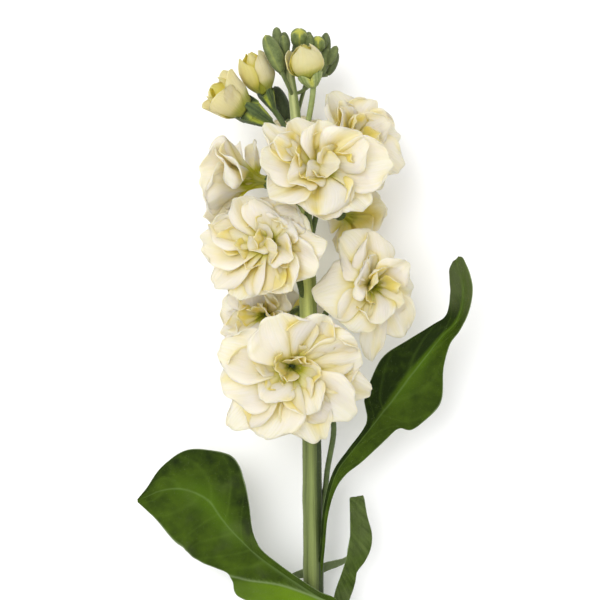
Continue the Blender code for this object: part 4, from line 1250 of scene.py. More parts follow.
def stem_rows():
    """The rows of the main stem, a little inside its solid so that the ribs fit."""
    low, high = STEM_AXIS[0][1], STEM_AXIS[-1][1]
    heights = [low + (high - low) * k / STEM_ROWS for k in range(STEM_ROWS + 1)]
    bends = smooth_path([stem_point(y) for _, y in STEM_AXIS], 12)
    table = [(point.y, point) for point in bends]
    path = [between(table, y) for y in heights]
    radii = [stem_radius(y) * RIB_ROOM for y in heights]
    for node in STEM_NODES:
        radii = [r + NODE_SWELL * math.exp(-((y - node) / NODE_REACH) ** 2) for r, y in zip(radii, heights)]
    return rows_along(path, radii, rib=0.05)


def keep_over_table(piece):
    """Flattens what would sink into the table."""
    for vert in piece.data.vertices:
        vert.co.z = max(vert.co.z, 0.0)


stem = make_tube("main_stem", stem_rows(), STEM_COLUMNS, stem_green, bumps=0.05)
keep_over_table(stem)
hand_over(stem, "stem")
print("the stem has", len(stem.data.polygons), "faces")

# %% [markdown]
# Under each bloom a thin stalk widens into the calyx, a cup of four felted sepals that part in points at
# its rim. The tube goes up the stalk and the cup, over the rim, and down inside to the receptacle. A
# profile gives shares of the calyx's length and radii. The tips give shares of the sepals' points, and
# how far those flare. An opening bud, which states its reach, has a funnel for a cup.

# %% Stalks and calyces
CALYX_LENGTH = 8.0
CUP_PROFILE = [(0.0, 0.98), (0.06, 1.2), (0.14, 1.5), (0.28, 1.85), (0.45, 2.0), (0.6, 2.0)]
FUNNEL_PROFILE = [(0.0, 0.98), (0.06, 1.05), (0.16, 1.25), (0.32, 1.6), (0.5, 1.95), (0.64, 2.25)]
CUP_TIPS = [(0.0, 0.0), (0.5, -0.08), (0.8, -0.2), (1.0, -0.36), (1.0, -0.5), (0.8, -0.4), (0.5, -0.3)]
FUNNEL_TIPS = [(0.0, 0.0), (0.5, 0.2), (0.8, 0.3), (1.0, 0.34), (1.0, 0.2), (0.8, 0.1), (0.5, 0.0)]
PEDICEL_RADIUS = 0.85
FOOT_SWELL = 0.5
SWELL_ROWS = 14
ELBOW = 0.9
STALK_START = 6.0
RIM_HEIGHT = 0.8
THROAT_RADIUS = 1.5
CALYX_COLUMNS = 56


def stalk_path(flower, calyx_length):
    """A bloom's stalk, from the stem's side to the foot of its calyx."""
    heart, faces, _, _ = bloom_frame(flower)
    foot = heart - faces * calyx_length
    by = [Vector(point) for point in flower.get("stalk_by", ())]
    root = stem_point(flower["stalk_from"])
    out = (by + [foot])[0] - root
    out.y = 0
    out.normalize()
    reach = stem_radius(root.y) * (1 + RIB_DEPTH)
    inside = stem_point(root.y - STALK_START) + out * (reach * 0.4)
    return smooth_path([inside, root + out * (reach + ELBOW * 0.4)] + by + [foot], 8)


def calyx_rows(flower):
    """The rows of a stalk and its calyx, from inside the stem to the receptacle."""
    heart, faces, right, _ = bloom_frame(flower)
    length = flower.get("calyx", CALYX_LENGTH)
    girth = flower.get("girth", 1.0)
    path = stalk_path(flower, length)
    swell = [1 + FOOT_SWELL * (1 - smooth_step(k / SWELL_ROWS)) for k in range(len(path))]
    rows = rows_along(path, [PEDICEL_RADIUS * s for s in swell], right)
    last = rows.pop()
    across = (last["side"] - faces * last["side"].dot(faces)).normalized()
    beside = faces.cross(across)

    def add(height, radius, tip=0.0, groove=0.0):
        rows.append({"place": heart + faces * height, "side": across, "beside": beside, "radius": radius,
                     "tip": tip, "groove": groove, "rib": 0.0})

    profile, tips = (FUNNEL_PROFILE, FUNNEL_TIPS) if "reach" in flower else (CUP_PROFILE, CUP_TIPS)
    for share, radius in profile:
        groove = min(SEPAL_GROOVE, share * 0.5)
        add((share - 1) * length, radius * (girth if share > 0 else 1.0), 0.0, groove)
    notch = (profile[-1][0] - 1) * length
    for share, flare in tips:
        add(notch + 0.2, (profile[-1][1] + flare) * girth, (RIM_HEIGHT - notch) * share, SEPAL_GROOVE)
    add(-0.2, THROAT_RADIUS * girth)
    return rows


def make_calyx(node, flower):
    finish = calyx_pale if flower.get("pale") else calyx_green
    calyx = make_tube(node + "_fine", calyx_rows(flower), CALYX_COLUMNS, finish,
                      point=flower.get("point", 1.2), bumps=0.03)
    hand_over(calyx, node)
    return calyx


calyces = [make_calyx(f"bloom_{number}_calyx", bloom) for number, bloom in BLOOMS.items()]
calyces += [make_calyx(f"opening_bud_{number}_calyx", bud) for number, bud in OPENING_BUDS.items()]
print(len(calyces), "stalks with calyces")

# %% [markdown]
# Inside the calyx a small green dome, the receptacle, carries the petals. It shows as the dark eye deep
# between them. Its rows are heights and radii.

# %% Receptacles
DOME_ROWS = [(-0.5, 1.4), (0.2, 1.8), (0.9, 2.1), (1.6, 2.0), (2.2, 1.6), (2.6, 0.9), (2.75, 0.2)]
DOME_COLUMNS = 20


def make_receptacle(number, bloom):
    heart, faces, right, _ = bloom_frame(bloom)
    rows = [{"place": heart + faces * height, "side": right, "beside": faces.cross(right), "radius": radius,
             "tip": 0.0, "groove": 0.0, "rib": 0.0} for height, radius in DOME_ROWS]
    dome = make_tube(f"bloom_{number}_receptacle", rows, DOME_COLUMNS, calyx_green, bumps=0.05)
    hand_over(dome, f"bloom_{number}_petals")


for number, bloom in BLOOMS.items():
    make_receptacle(number, bloom)
print(len(BLOOMS), "receptacles")

# %% [markdown]
# At the tip of the stem the youngest buds crowd together. Each is a small egg of four closed sepals on
# a short stalk. They repeat, so one bud shape is made in the tree and put on loose points, which give its
# direction, its size and how ripe it is: the ripest show yellow petals at their tips and in their seams.
# Below zero the same number paints the bud dark, as painted shade for one that lies in the shade. Each row
# of the table says how far up the axis a bud's stalk starts, where the bud's middle and tip are, its radius
# and how ripe it is.

# %% Buds of the head
HEAD_BUDS = [
    (0.38, (-7.6, 72.8, 30.2), (-10.0, 78.4, 30.2), 2.5, 0.35),
    (0.5, (-6.8, 78.4, 23.4), (-7.0, 82.0, 23.0), 1.6, 0.0),
    (0.94, (-4.4, 78.0, 21.0), (-4.8, 81.0, 20.4), 1.4, 0.0),
    (1.0, (-0.3, 78.4, 26.0), (0.0, 80.0, 28.6), 2.7, 0.85),
    (0.94, (2.4, 77.6, 22.4), (2.8, 80.8, 22.0), 1.4, 0.0),
    (0.86, (5.4, 76.6, 25.2), (5.5, 78.0, 27.8), 2.15, 0.95),
    (0.8, (8.2, 76.4, 21.8), (8.4, 80.0, 21.4), 1.1, 0.2),
    (0.7, (9.6, 71.2, 21.6), (11.2, 74.8, 21.2), 1.6, -0.3),
    (0.4, (6.8, 71.0, 24.0), (8.4, 75.4, 23.6), 1.9, 0.1),
    (0.12, (-5.6, 59.4, 18.6), (-7.5, 64.8, 17.4), 2.3, -0.9),
    (0.84, (-0.6, 74.6, 19.6), (-0.6, 78.8, 18.2), 1.9, -0.4),
    (0.74, (-6.2, 71.6, 20.4), (-8.0, 75.8, 19.4), 1.9, -0.3),
    (0.06, (3.6, 69.8, 19.4), (5.4, 73.6, 17.8), 1.7, -0.5),
    (0.96, (0.9, 79.4, 22.6), (1.2, 81.4, 22.2), 1.2, -0.2),
    (0.9, (7.4, 77.8, 24.4), (8.0, 80.2, 24.0), 1.2, -0.3),
    (0.78, (9.6, 73.2, 25.0), (11.0, 76.0, 25.4), 1.4, 0.05),
    (0.88, (2.9, 76.6, 27.0), (3.2, 79.0, 28.2), 1.4, 0.1),
    (0.84, (-4.6, 75.4, 28.0), (-5.0, 78.6, 29.0), 1.5, 0.2),
]


def bud_tree():
    tree, given = new_tree("green_buds", {"Columns": "count", "Rows": "count", "Shift": "arrow",
                                          "Finish": "finish"})
    egg = placed(tree, "GeometryNodeMeshCylinder", {"fill_type": "NGON"}, Vertices=given["Columns"],
                 Side_Segments=given["Rows"], Radius=1.0, Depth=1.0)
    x, y, z = parts_of(position(tree))
    along = z + 0.5
    angle = worked("ARCTAN2", y, x)
    turns = angle * 4.0 / (2 * math.pi)
    slope = 1.0 - worked("ABSOLUTE", worked("FLOORED_MODULO", turns, 1.0) * 2.0 - 1.0)
    egg = stored(tree, egg, "tube_place", arrow(tree, along, angle / (2 * math.pi), slope))
    end = worked("POWER", worked("ABSOLUTE", along * 2.0 - 1.0), 2.4)
    belly = worked("POWER", worked("MAXIMUM", 1.0 - end, 0.0005), 0.5) * (0.94 + sine(along * 3.0) * 0.08)
    radius = belly * (1.0 - gaussian(slope, 0.2) * 0.12 * eased(along / 0.3)) * 0.98 + 0.01
    lean = sine(along * 5.0) * 0.05
    place = arrow(tree, cosine(angle) * radius + lean, sine(angle) * radius, along * 2.0 - 1.0)
    shaped = placed(tree, "GeometryNodeSetPosition", Geometry=egg, Position=place)
    turned = placed(tree, "FunctionNodeAlignRotationToVector", {"axis": "Z"},
                    Vector=read(tree, "direction", "FLOAT_VECTOR"))
    buds = placed(tree, "GeometryNodeInstanceOnPoints", Points=given["Geometry"], Instance=shaped,
                  Rotation=turned, Scale=read(tree, "size", "FLOAT_VECTOR"))
    buds = placed(tree, "GeometryNodeRealizeInstances", Geometry=buds)
    moved = placed(tree, "GeometryNodeSetPosition", Geometry=buds,
                   Position=(position(tree) + given["Shift"]) * MM)
    end_tree(tree, moved, given["Finish"])
    return tree


print(len(HEAD_BUDS), "buds stand in the table")

# %% [markdown]
# The buds are grey green, mottled, and darker on the backs of their sepals. How ripe a bud is also decides
# its paint, and below zero the same number paints it dark as painted shade, so the table alone says how each
# one looks.

# %% Bud finish
BUD_LIGHT, BUD_DARK = (0.18, 0.22, 0.075), (0.052, 0.072, 0.022)
RIPE_LIGHT, RIPE_DARK = (0.22, 0.28, 0.07), (0.07, 0.1, 0.028)
BUD_SHADE = (0.022, 0.034, 0.008)
BUD_SEAM = (0.42, 0.42, 0.06)


def bud_finish():
    finish, tree, shader = new_finish("bud_green")
    along, _, slope = parts_of(attribute(tree, "tube_place"))
    ripe = parts_of(attribute(tree, "ripe"))[0]
    # Painted shade: a bud with a number below zero is painted dark.
    shade = ripe * -1.0
    mottle = noise(tree, object_place(tree) * 700.0, 1.0, 3.0)
    grain = noise(tree, object_place(tree) * 4200.0, 1.0, 1.0)
    share = clamped(0.5 + mottle * 0.6 + (slope - 0.5) * 0.5 + grain * 0.2)
    green = mixed(tree, share, BUD_LIGHT, BUD_DARK)
    body = mixed(tree, ripe, green, mixed(tree, share, RIPE_LIGHT, RIPE_DARK))
    body = mixed(tree, clamped(shade), body, BUD_SHADE)
    seam = 1.0 - eased((slope + mottle * 0.1) / 0.3)
    glow = clamped(eased((along - 0.9 + seam * 0.1) / 0.09 + mottle * 0.4) * 0.9 + seam * 0.4)
    glow = glow * clamped(ripe * 1.2)
    felted(shader, tree, mixed(tree, glow, body, BUD_SEAM), 0.65, 0.06, grain + mottle)
    return finish


bud_green = bud_finish()
print("bud finish:", bud_green.name)

# %% [markdown]
# The stem goes on thinner as the head's axis, and each bud's stalk starts inside it. The stalks are
# tubes like the others, a little thicker towards the bud.

# %% Bud head
HEAD_AXIS = [(-0.92, 51.3, 24.47), (-1.9, 60.0, 25.2), (-2.9, 68.0, 25.9), (-3.2, 73.5, 26.0)]
HEAD_AXIS_RADII = [1.75, 1.5, 1.2, 0.8]


def head_buds():
    rows = []
    for _, middle, tip, radius, ripe in HEAD_BUDS:
        middle, tip = Vector(middle), Vector(tip)
        half = (tip - middle).length
        rows.append({"place": middle + (tip - middle) * 0.05, "direction": (tip - middle).normalized(),
                     "size": (radius, radius, half * 1.02), "ripe": ripe})
    source = points_object("head_bud_points", rows, {"direction": "FLOAT_VECTOR", "size": "FLOAT_VECTOR",
                                                     "ripe": "FLOAT"})
    apply_tree(source, bud_tree(), Columns=28, Rows=18, Shift=FRAME_SHIFT, Finish=bud_green)
    buds = made_plain(source, "head_buds")
    hand_over(buds, "bud_head")
    return buds


def head_stalk(number, share, middle, tip):
    """A bud's own stalk, from inside the axis to the bud's base."""
    path = [Vector(point) for point in HEAD_AXIS]
    place = share * (len(path) - 1)
    low = min(int(place), len(path) - 2)
    root = path[low].lerp(path[low + 1], place - low)
    middle, tip = Vector(middle), Vector(tip)
    base = middle * 2 - tip
    line = smooth_path([root, root.lerp(base, 0.5) + (base - middle) * 0.25, base.lerp(middle, 0.12)], 6)
    radii = [0.5 + 0.15 * k / (len(line) - 1) for k in range(len(line))]
    stalk = make_tube(f"head_stalk_{number}", rows_along(line, radii), 16, bud_green)
    hand_over(stalk, "bud_head")


buds = head_buds()
for k, (share, middle, tip, _, _) in enumerate(HEAD_BUDS):
    head_stalk(k, share, middle, tip)
axis_path = smooth_path([Vector(point) for point in HEAD_AXIS], 8)
axis_radii = [between(list(zip((p[1] for p in HEAD_AXIS), HEAD_AXIS_RADII)), p.y) for p in axis_path]
axis = make_tube("head_axis", rows_along(axis_path, axis_radii, rib=0.05), 40, young_green, bumps=0.04)
hand_over(axis, "bud_head")
print("the bud head has", len(HEAD_BUDS), "buds with", len(buds.data.polygons), "faces")

# %% [markdown]
# A leaf of stock is long, blunt and thick, with a pale midrib that stands out below and side veins that
# bend towards the tip. Its shape is a table of stations along the midrib: place, half-widths, roll, and,
# on the big left leaf, where the left half is creased and how far it droops. A leaf's rib says how deep
# the midrib stands out at the foot and at the tip, its fold how far the halves are raised, its wave how
# high the border's waves are, its drift how far the painted midrib lies aside near the tip, and its rows
# how finely it is cut.

# %% Stations of the leaves
LEAVES = {
    1: dict(
        rib=(1.7, 0.5), fold=8, wave=0.6, drift=0.34, rows=150,
        stations=[(4.6, -109.0, 12.4, 0.9, 0.9, 0, 0.8, 0), (6.4, -104.0, 15.9, 0.9, 0.9, 0, 0.8, 0),
                  (9.2, -98.2, 18.0, 3.6, 1.6, 0, 1.6, 4), (9.9, -92.4, 19.2, 9.0, 1.8, 0, 0.9, 16),
                  (5.0, -89.6, 19.8, 14.0, 1.5, 0, 0.7, 30), (-3.8, -83.8, 20.0, 16.6, 1.6, -4, 3.3, 44),
                  (-10.8, -78.9, 19.6, 17.4, 1.9, -6, 7.7, 46),
                  (-13.6, -76.8, 19.4, 11.5, 2.4, -7, 9.4, 40),
                  (-15.0, -75.6, 19.2, 10.0, 3.0, -7, 10.6, 8),
                  (-17.3, -73.4, 18.9, 11.2, 4.4, -6, 12.0, 0),
                  (-20.2, -70.6, 18.5, 13.0, 7.6, -4, 10.0, 0),
                  (-22.9, -68.0, 18.1, 14.0, 11.0, -2, 10.0, 0),
                  (-25.5, -65.8, 17.6, 13.9, 14.6, 0, 10.0, 0), (-28.0, -64.2, 17.1, 13.8, 18.3, 2, 10.0, 0),
                  (-31.5, -62.8, 16.4, 13.3, 17.7, 3, 9.0, 0), (-36.6, -61.8, 15.4, 11.6, 16.1, 4, 8.0, 0),
                  (-42.0, -61.4, 14.2, 7.4, 10.8, 4, 7.0, 0), (-46.8, -61.5, 13.2, 3.3, 3.9, 2, 3.0, 0),
                  (-49.9, -61.7, 12.8, 0.5, 0.5, 0, 0.6, 0)]),
    2: dict(
        rib=(1.7, 0.5), fold=14, wave=0.6, rows=150,
        stations=[(5.6, -87.0, 13.4, 0.9, 0.9, 0), (6.8, -76.0, 15.6, 0.8, 0.8, 0),
                  (7.6, -66.0, 17.6, 0.9, 0.9, 0), (9.3, -57.6, 19.2, 1.1, 1.4, 0),
                  (11.6, -51.4, 19.9, 1.2, 2.8, 2), (15.5, -46.0, 20.4, 1.3, 4.4, 4),
                  (21.5, -38.5, 20.8, 2.0, 5.7, 6), (24.2, -35.0, 20.9, 6.2, 6.6, 6),
                  (25.4, -33.4, 21.0, 8.0, 9.2, 6), (27.4, -31.0, 21.0, 9.2, 11.2, 6),
                  (33.0, -23.5, 21.2, 10.9, 12.2, 4), (38.6, -16.4, 21.8, 7.4, 6.4, -6),
                  (42.9, -11.1, 22.6, 5.0, 4.2, -26), (46.6, -7.4, 23.4, 4.6, 5.0, -50),
                  (48.8, -2.6, 23.8, 5.0, 5.6, -58), (49.4, 2.6, 23.4, 4.8, 5.4, -56),
                  (48.6, 7.2, 22.0, 4.0, 4.2, -50), (47.8, 10.6, 20.2, 3.2, 3.2, -44),
                  (47.5, 12.3, 18.8, 1.4, 1.4, -40)]),
    3: dict(
        rib=(1.2, 0.4), fold=20, wave=0.5, rows=90,
        stations=[(9.6, -112.0, 9.4, 0.9, 0.9, 0), (10.6, -101.0, 10.8, 2.2, 2.2, 16),
                  (12.5, -91.4, 11.6, 2.7, 3.0, 22), (14.3, -86.0, 12.2, 2.9, 2.7, 22),
                  (15.4, -82.8, 12.5, 3.1, 2.4, 20), (17.1, -78.4, 12.8, 3.5, 3.7, 18),
                  (18.3, -73.0, 13.0, 3.5, 3.8, 12), (17.9, -66.3, 12.8, 2.9, 2.8, 6),
                  (17.5, -61.4, 12.2, 2.4, 2.4, 0), (17.4, -60.5, 12.0, 2.0, 2.1, 0)]),
    4: dict(
        rib=(0.5, 0.3), fold=6, wave=0.2, rows=90,
        stations=[(-3.0, -85.8, 7.9, 0.6, 0.6, 0), (0.2, -85.0, 8.2, 1.3, 1.3, 0),
                  (4.1, -84.2, 8.2, 1.4, 1.4, 0), (8.4, -82.6, 7.8, 1.4, 1.4, 20),
                  (12.6, -81.4, 7.2, 1.3, 1.3, 34), (16.0, -80.0, 6.2, 0.7, 0.7, 34)]),
}
print(len(LEAVES), "leaves with", sum(len(leaf["stations"]) for leaf in LEAVES.values()), "stations")

# %% [markdown]
# A flat sheet made thick by a modifier would have square edges and no midrib. So an upper and a lower
# face are laid over the stations row by row and meet in a rounded rim, as one closed skin. The lower
# face stands out along the midrib.

# %% Leaf skin
EDGE_WAVES = 17.0
EDGE_LAG = 2.2
LEAF_STEPS = 6
LEAF_THICKNESS = 0.5
RIM_SHARE = 0.35
LEAF_COLUMNS = 20
BEND_WIDTH = 2.4


def crease_of(station):
    """Where the left half of a leaf is creased and how far it droops; halfway and flat if not stated."""
    return Vector((station[6], station[7], 0)) if len(station) > 6 else Vector((station[3] / 2, 0, 0))


def half_section(width, fold, crease, droop):
    """Steps out from the midrib over one half of the leaf: how far aside and how far up."""
    points = [(0.0, 0.0)]
    step = width / LEAF_COLUMNS
    for k in range(LEAF_COLUMNS):
        bend = droop * smooth_step(((k + 0.5) * step - crease) / BEND_WIDTH + 0.5)
        aside, up = points[-1]
        points.append((aside + step * math.cos(fold - bend), up + step * math.sin(fold - bend)))
    return points


def leaf_rows(leaf):
    """Rows of a leaf's middle surface: each point with its face, rib depth and places on the leaf."""
    table = leaf["stations"]
    spine = smooth_path([Vector(row[:3]) for row in table], LEAF_STEPS)
    widths = smooth_path([Vector(row[3:6]) for row in table], LEAF_STEPS)
    creases = smooth_path([crease_of(row) for row in table], LEAF_STEPS)
    last = len(spine) - 1
    thick, thin = leaf["rib"]
    fold = math.radians(leaf["fold"])
    beside = None
    made = []
    for i in range(leaf["rows"] + 1):
        along = i / leaf["rows"]
        k = min(int(along * last), last - 1)
        mix = along * last - k
        point = spine[k].lerp(spine[k + 1], mix)
        left, right, roll = widths[k].lerp(widths[k + 1], mix)
        here = (spine[min(k + 2, last)] - spine[max(k - 1, 0)]).normalized()
        there = (spine[min(k + 3, last)] - spine[k]).normalized()
        ahead = here.lerp(there, mix).normalized()
        level = ahead.cross(Vector((0, 0, 1)))
        if level.length > 0.35 or beside is None:
            beside = level.normalized()
        else:
            beside = (beside - ahead * beside.dot(ahead)).normalized()
        normal = beside.cross(ahead)
        turn = math.radians(roll)
        side = beside * math.cos(turn) - normal * math.sin(turn)
        face = normal * math.cos(turn) + beside * math.sin(turn)
        rib = thick + (thin - thick) * along ** 0.6
        crease, droop, _ = creases[k].lerp(creases[k + 1], mix)
        crease = min(crease, 1.1 * left)
        row = []
        for sign, width, lag, bent in ((-1, left, 0.0, math.radians(droop)), (1, right, EDGE_LAG, 0.0)):
            section = half_section(width, fold, crease, bent)
            for step, (aside, up) in enumerate(section):
                v = step / LEAF_COLUMNS
                wave = leaf["wave"] * v * v * min(1.0, width / 4) * math.sin(EDGE_WAVES * along + lag)
                at = point + side * (sign * aside) + face * (up + wave)
                past = smooth_step((v * width - crease) / BEND_WIDTH + 0.5) * smooth_step(bent / 0.12)
                row.append((at, face, rib, along, sign * v, v * width, past))
        half = len(row) // 2
        made.append(row[:half][::-1] + row[half + 1:])
    return made


def leaf_skin(number, leaf):
    """A leaf's closed skin: an upper and a lower face that meet in a rounded rim."""
    bm = bmesh.new()
    place = bm.verts.layers.float_vector.new("leaf_place")
    under = bm.verts.layers.float.new("under")
    rolled = bm.verts.layers.float.new("rolled")
    grid = leaf_rows(leaf)
    drift = leaf.get("drift", 0.0)
    faces = []
    for below in (0, 1):
        made = []
        for row in grid:
            line = []
            for at, face, rib, along, across, distance, past in row:
                edge = math.sqrt(max(0.0, 1 - across ** 8))
                lift = LEAF_THICKNESS / 2 * (RIM_SHARE + (1 - RIM_SHARE) * edge)
                if below:
                    lift = -lift - rib * math.exp(-(distance / (0.4 * rib + 0.25)) ** 2)
                vert = bm.verts.new(at + face * lift)
                aside = drift * smooth_step((along - 0.55) / 0.4) * (1 - across * across)
                vert[place] = (along, across - aside, float(number))
                vert[under] = float(below)
                vert[rolled] = past
                line.append(vert)
            made.append(line)
        faces.append(made)
    upper, lower = faces
    for low, high in zip(upper, upper[1:]):
        for j in range(len(low) - 1):
            bm.faces.new((low[j], low[j + 1], high[j + 1], high[j]))
    for low, high in zip(lower, lower[1:]):
        for j in range(len(low) - 1):
            bm.faces.new((low[j + 1], low[j], high[j], high[j + 1]))
    for i in range(len(upper) - 1):
        bm.faces.new((upper[i + 1][0], lower[i + 1][0], lower[i][0], upper[i][0]))
        bm.faces.new((upper[i][-1], lower[i][-1], lower[i + 1][-1], upper[i + 1][-1]))
    for up_line, low_line in ((upper[0], lower[0]), (upper[-1][::-1], lower[-1][::-1])):
        for j in range(len(up_line) - 1):
            bm.faces.new((up_line[j + 1], up_line[j], low_line[j], low_line[j + 1]))
    bmesh.ops.recalc_face_normals(bm, faces=bm.faces)
    mesh = bpy.data.meshes.new(f"leaf_{number}_skin")
    bm.to_mesh(mesh)
    bm.free()
    made = bpy.data.objects.new(mesh.name, mesh)
    bpy.context.scene.collection.objects.link(made)
    return made


print("half a leaf has", LEAF_COLUMNS, "columns of faces above and below")

# %% [markdown]
# The side veins leave the midrib in pairs and curve forward. One number says how near a point is to the
# next vein, and both the relief and the paint are drawn from it. The tree presses the veins in above,
# raises them below, and waves the whole skin a little.

# %% Leaf relief
VEIN_PAIRS = 9.0
VEIN_SLANT = 2.6
VEIN_DEPTH = 0.16
WAVE_HEIGHT = 0.35


def vein_share(along, across):
    """1 on a side vein, 0 between veins."""
    reach = worked("ABSOLUTE", across)
    flow = along * VEIN_PAIRS - worked("POWER", reach, 1.3) * VEIN_SLANT * 0.5
    flow = flow + worked("GREATER_THAN", across, 0.0) * 0.45
    off = worked("ABSOLUTE", worked("FLOORED_MODULO", flow, 1.0) * 2.0 - 1.0)
    return gaussian(1.0 - off, 0.16) * (1.0 - reach * reach * 0.7)


def leaf_tree():
    tree, given = new_tree("leaf_relief", {"Vein Depth": "number", "Waves": "number", "Shift": "arrow",
                                           "Finish": "finish"})
    along, across, number = parts_of(read(tree, "leaf_place", "FLOAT_VECTOR"))
    normal = placed(tree, "GeometryNodeInputNormal")
    wave = noise(tree, arrow(tree, along * 7.0, across * 1.4, number), 1.0, 2.0) * given["Waves"]
    under = read(tree, "under")
    raised = under * 2.0 - 1.0
    middle = gaussian(across, 0.06) * (1.0 - under) * -0.35
    relief = (vein_share(along, across) + middle) * given["Vein Depth"] * raised
    upward = normal * (1.0 - under * 2.0)
    place = position(tree) + normal * relief + upward * (wave * eased((along - 0.12) / 0.2))
    bent = placed(tree, "GeometryNodeSetPosition", Geometry=given["Geometry"],
                  Position=(place + given["Shift"]) * MM)
    end_tree(tree, bent, given["Finish"])
    return tree


relief = leaf_tree()
print("the leaf relief has", len(relief.nodes), "nodes")

# %% [markdown]
# A leaf is a mottle of two dark greens, with a paler underside and a thin pale rim. Painted veins alone
# would look flat, and veins in relief alone would be lost in soft light, so it has both. Light and shade are
# painted on too: a painted glow of light along the middle of the big leaves, painted shade on the left half
# of the big right leaf and on the right edge of the big left leaf, a bright green painted light on the
# drooping flap of the big left leaf, and a painted highlight along its fold. The big right leaf has a bright
# strip at its tip. The two small leaves are hazy and wrinkled, and the narrow one is the palest.

# %% Leaf finish
LEAF_LIGHT, LEAF_DARK = (0.044, 0.079, 0.003), (0.008, 0.017, 0.0005)
HAZE = (0.115, 0.145, 0.055)
PAINTED_GLOW = (0.075, 0.15, 0.004)
FLAP_PAINTED_LIGHT = (0.15, 0.27, 0.006)
UNDERSIDE = (0.08, 0.12, 0.036)
NARROW_LEAF = (0.2, 0.25, 0.12)
SIDE_VEINS, MIDRIB = (0.1, 0.17, 0.02), (0.16, 0.24, 0.08)
PALE_RIM_AND_HIGHLIGHT = (0.26, 0.33, 0.17)


def leaf_finish():
    finish, tree, shader = new_finish("leaf_green")
    along, across, number = parts_of(attribute(tree, "leaf_place"))
    under = parts_of(attribute(tree, "under"))[0]
    mottle = noise(tree, object_place(tree) * 260.0, 1.0, 4.0)
    grain = noise(tree, object_place(tree) * 3200.0, 1.0, 2.0)
    rolled = parts_of(attribute(tree, "rolled"))[0]
    clouds = noise(tree, object_place(tree) * 90.0, 1.0, 2.0)
    second = gaussian(number - 2.0, 0.4)
    narrow = eased(number - 2.0)
    # Painted shade: the left half of the big right leaf and the right edge of the big left leaf are painted
    # darker.
    painted_shade_half = eased((across * -1.0 - 0.04) / 0.2) * second
    painted_edge_shade = eased((across - 0.35) / 0.4) * eased((along - 0.45) / 0.1) * (1.0 - second) * (1.0 - narrow)
    wrinkles = noise(tree, arrow(tree, along * 24.0 + across * 1.5, across * 0.3, number), 1.0, 2.0) * narrow
    tip_strip = eased((along - 0.72) / 0.12) * second
    share = (0.42 + mottle * 0.7 + clouds * 0.4 + grain * 0.12 + painted_shade_half * 0.6 + painted_edge_shade * 0.4
             - wrinkles * 1.1)
    blade = mixed(tree, clamped(share), LEAF_LIGHT, LEAF_DARK)
    haze = clamped((clouds * 0.9 + narrow * 0.65 + wrinkles * 0.9) * (1.0 - second)
                   + tip_strip * (1.0 + mottle))
    blade = mixed(tree, haze * 0.5, blade, HAZE)
    # Painted light: a bright yellow-green glow along the middle of the blade.
    glow = gaussian(across, 0.26) * eased((along - 0.42) / 0.16) * (1.0 - eased((along - 0.8) / 0.1))
    glow = glow * (1.0 - painted_shade_half) * (1.0 - narrow)
    blade = mixed(tree, clamped(glow * (0.4 + mottle * 0.5)), blade, PAINTED_GLOW)
    # Painted light: the drooping flap is painted a bright green, as for light that comes through it.
    flap_painted_light = rolled * (0.55 + clouds * 0.3 - eased((along - 0.28) / 0.1) * 0.35)
    blade = mixed(tree, clamped(flap_painted_light), blade, FLAP_PAINTED_LIGHT)
    blade = mixed(tree, under, blade, UNDERSIDE)
    blade = mixed(tree, worked("GREATER_THAN", number, 3.5) * 0.7, blade, NARROW_LEAF)
    veins = clamped(vein_share(along, across) * 0.3 + grain * 0.05) * (1.0 - narrow * 0.6)
    blade = mixed(tree, veins * 0.5, blade, SIDE_VEINS)
    rib = gaussian(across * (0.3 + along * 0.7), 0.018) * (1.0 - narrow)
    blade = mixed(tree, clamped(rib * (0.26 + mottle * 0.12)), blade, MIDRIB)
    # A pale rim at the margin, and a painted highlight along the fold of the drooping flap.
    rim = eased((worked("ABSOLUTE", across) - 0.965) / 0.035) + gaussian(rolled - 0.45, 0.22) * 0.7
    blade = mixed(tree, rim * 0.5, blade, PALE_RIM_AND_HIGHLIGHT)
    felted(shader, tree, blade, 0.6, 0.0, grain * 0.6 + mottle)
    shader.inputs["Specular IOR Level"].default_value = 0.06
    return finish


leaf_green = leaf_finish()
leaf_pieces = []
for number, leaf in LEAVES.items():
    skin = leaf_skin(number, leaf)
    apply_tree(skin, relief, Vein_Depth=VEIN_DEPTH, Waves=WAVE_HEIGHT, Shift=FRAME_SHIFT, Finish=leaf_green)
    piece = made_plain(skin, f"leaf_{number}_fine")
    hand_over(piece, f"leaf_{number}")
    leaf_pieces.append(piece)
print(len(leaf_pieces), "leaves, the biggest with", max(len(p.data.polygons) for p in leaf_pieces), "faces")

# %% [markdown]
# All green parts are felted with short pale hairs, which soften their outlines. One tree scatters small
# three-sided cones over a finished piece, by a fixed seed, each leaning a little its own way. Hair
# curves would be lighter, but cones are plain faces that every export keeps. A felt is given as hairs
# on a square millimetre and their length.

# %% Felt of hairs
HAIR_RADIUS = 0.03
HAIR_SEED = 5
HAIR_DARK, HAIR_LIGHT = (0.14, 0.18, 0.08), (0.28, 0.32, 0.18)
STEM_FELT, LEAF_FELT = (0.9, 0.45), (0.8, 0.4)
CALYX_FELT, BUD_FELT = (2.2, 0.4), (3.0, 0.35)


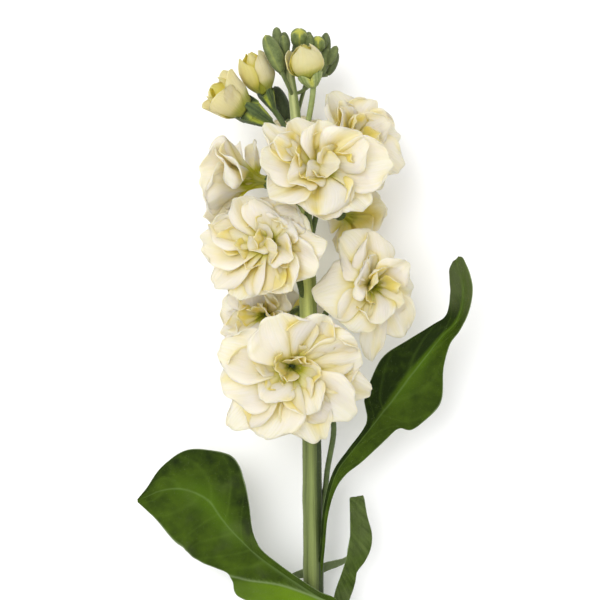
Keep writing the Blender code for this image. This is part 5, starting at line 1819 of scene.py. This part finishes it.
def hair_tree():
    tree, given = new_tree("felt_of_hairs", {"Surface": "object", "Density": "number", "Length": "number",
                                             "Finish": "finish"})
    surface = placed(tree, "GeometryNodeObjectInfo", Object=given["Surface"])
    surface = Term(tree, surface.socket.node.outputs["Geometry"])
    roots = placed(tree, "GeometryNodeDistributePointsOnFaces", Mesh=surface, Density=given["Density"],
                   Seed=HAIR_SEED)
    normal = Term(tree, roots.socket.node.outputs["Normal"])
    roots = stored(tree, roots, "lean", normal)
    at = position(tree) * 9000.0
    swirl = arrow(tree, noise(tree, at, 1.0), noise(tree, at + (3.1, 7.7, 1.3), 1.0),
                  noise(tree, at + (8.4, 2.2, 5.9), 1.0))
    turned = placed(tree, "FunctionNodeAlignRotationToVector", {"axis": "Z"},
                    Vector=read(tree, "lean", "FLOAT_VECTOR") + swirl * 1.6)
    hair = placed(tree, "GeometryNodeMeshCone", {"fill_type": "NGON"}, Vertices=3, Radius_Top=0.0,
                  Radius_Bottom=HAIR_RADIUS * MM, Depth=given["Length"] * MM)
    length = 0.7 + noise(tree, at + (1.7, 4.1, 9.2), 1.0) * 0.6
    hairs = placed(tree, "GeometryNodeInstanceOnPoints", Points=roots, Instance=hair, Rotation=turned,
                   Scale=arrow(tree, 1.0, 1.0, length))
    hairs = placed(tree, "GeometryNodeRealizeInstances", Geometry=hairs)
    hairs = placed(tree, "GeometryNodeRemoveAttribute", Geometry=hairs, Name="lean")
    end_tree(tree, hairs, given["Finish"])
    return tree


def add_felt(piece, node, felt_size):
    """Covers a finished piece with hairs, hands them over, and says how many faces they have."""
    density, length = felt_size
    source = points_object(piece.name + "_felt_source", [], {})
    apply_tree(source, felt, Surface=piece, Density=density * 1e6, Length=length, Finish=hair_grey)
    hairs = made_plain(source, piece.name + "_felt")
    keep_over_table(hairs)
    hand_over(hairs, node)
    return len(hairs.data.polygons)


hair_grey, hair_nodes, hair_shader = new_finish("hair_grey")
hair_tone = noise(hair_nodes, object_place(hair_nodes) * 900.0, 1.0)
feed(hair_nodes, hair_shader.inputs["Base Color"],
     mixed(hair_nodes, clamped(hair_tone + 0.5), HAIR_DARK, HAIR_LIGHT))
hair_shader.inputs["Roughness"].default_value = 0.6
felt = hair_tree()
count = add_felt(stem, "stem", STEM_FELT)
for piece, number in zip(leaf_pieces, LEAVES):
    count += add_felt(piece, f"leaf_{number}", LEAF_FELT)
for piece in calyces:
    count += add_felt(piece, piece.name.replace("_fine", ""), CALYX_FELT)
count += add_felt(buds, "bud_head", BUD_FELT)
print("the felt has", count, "faces")
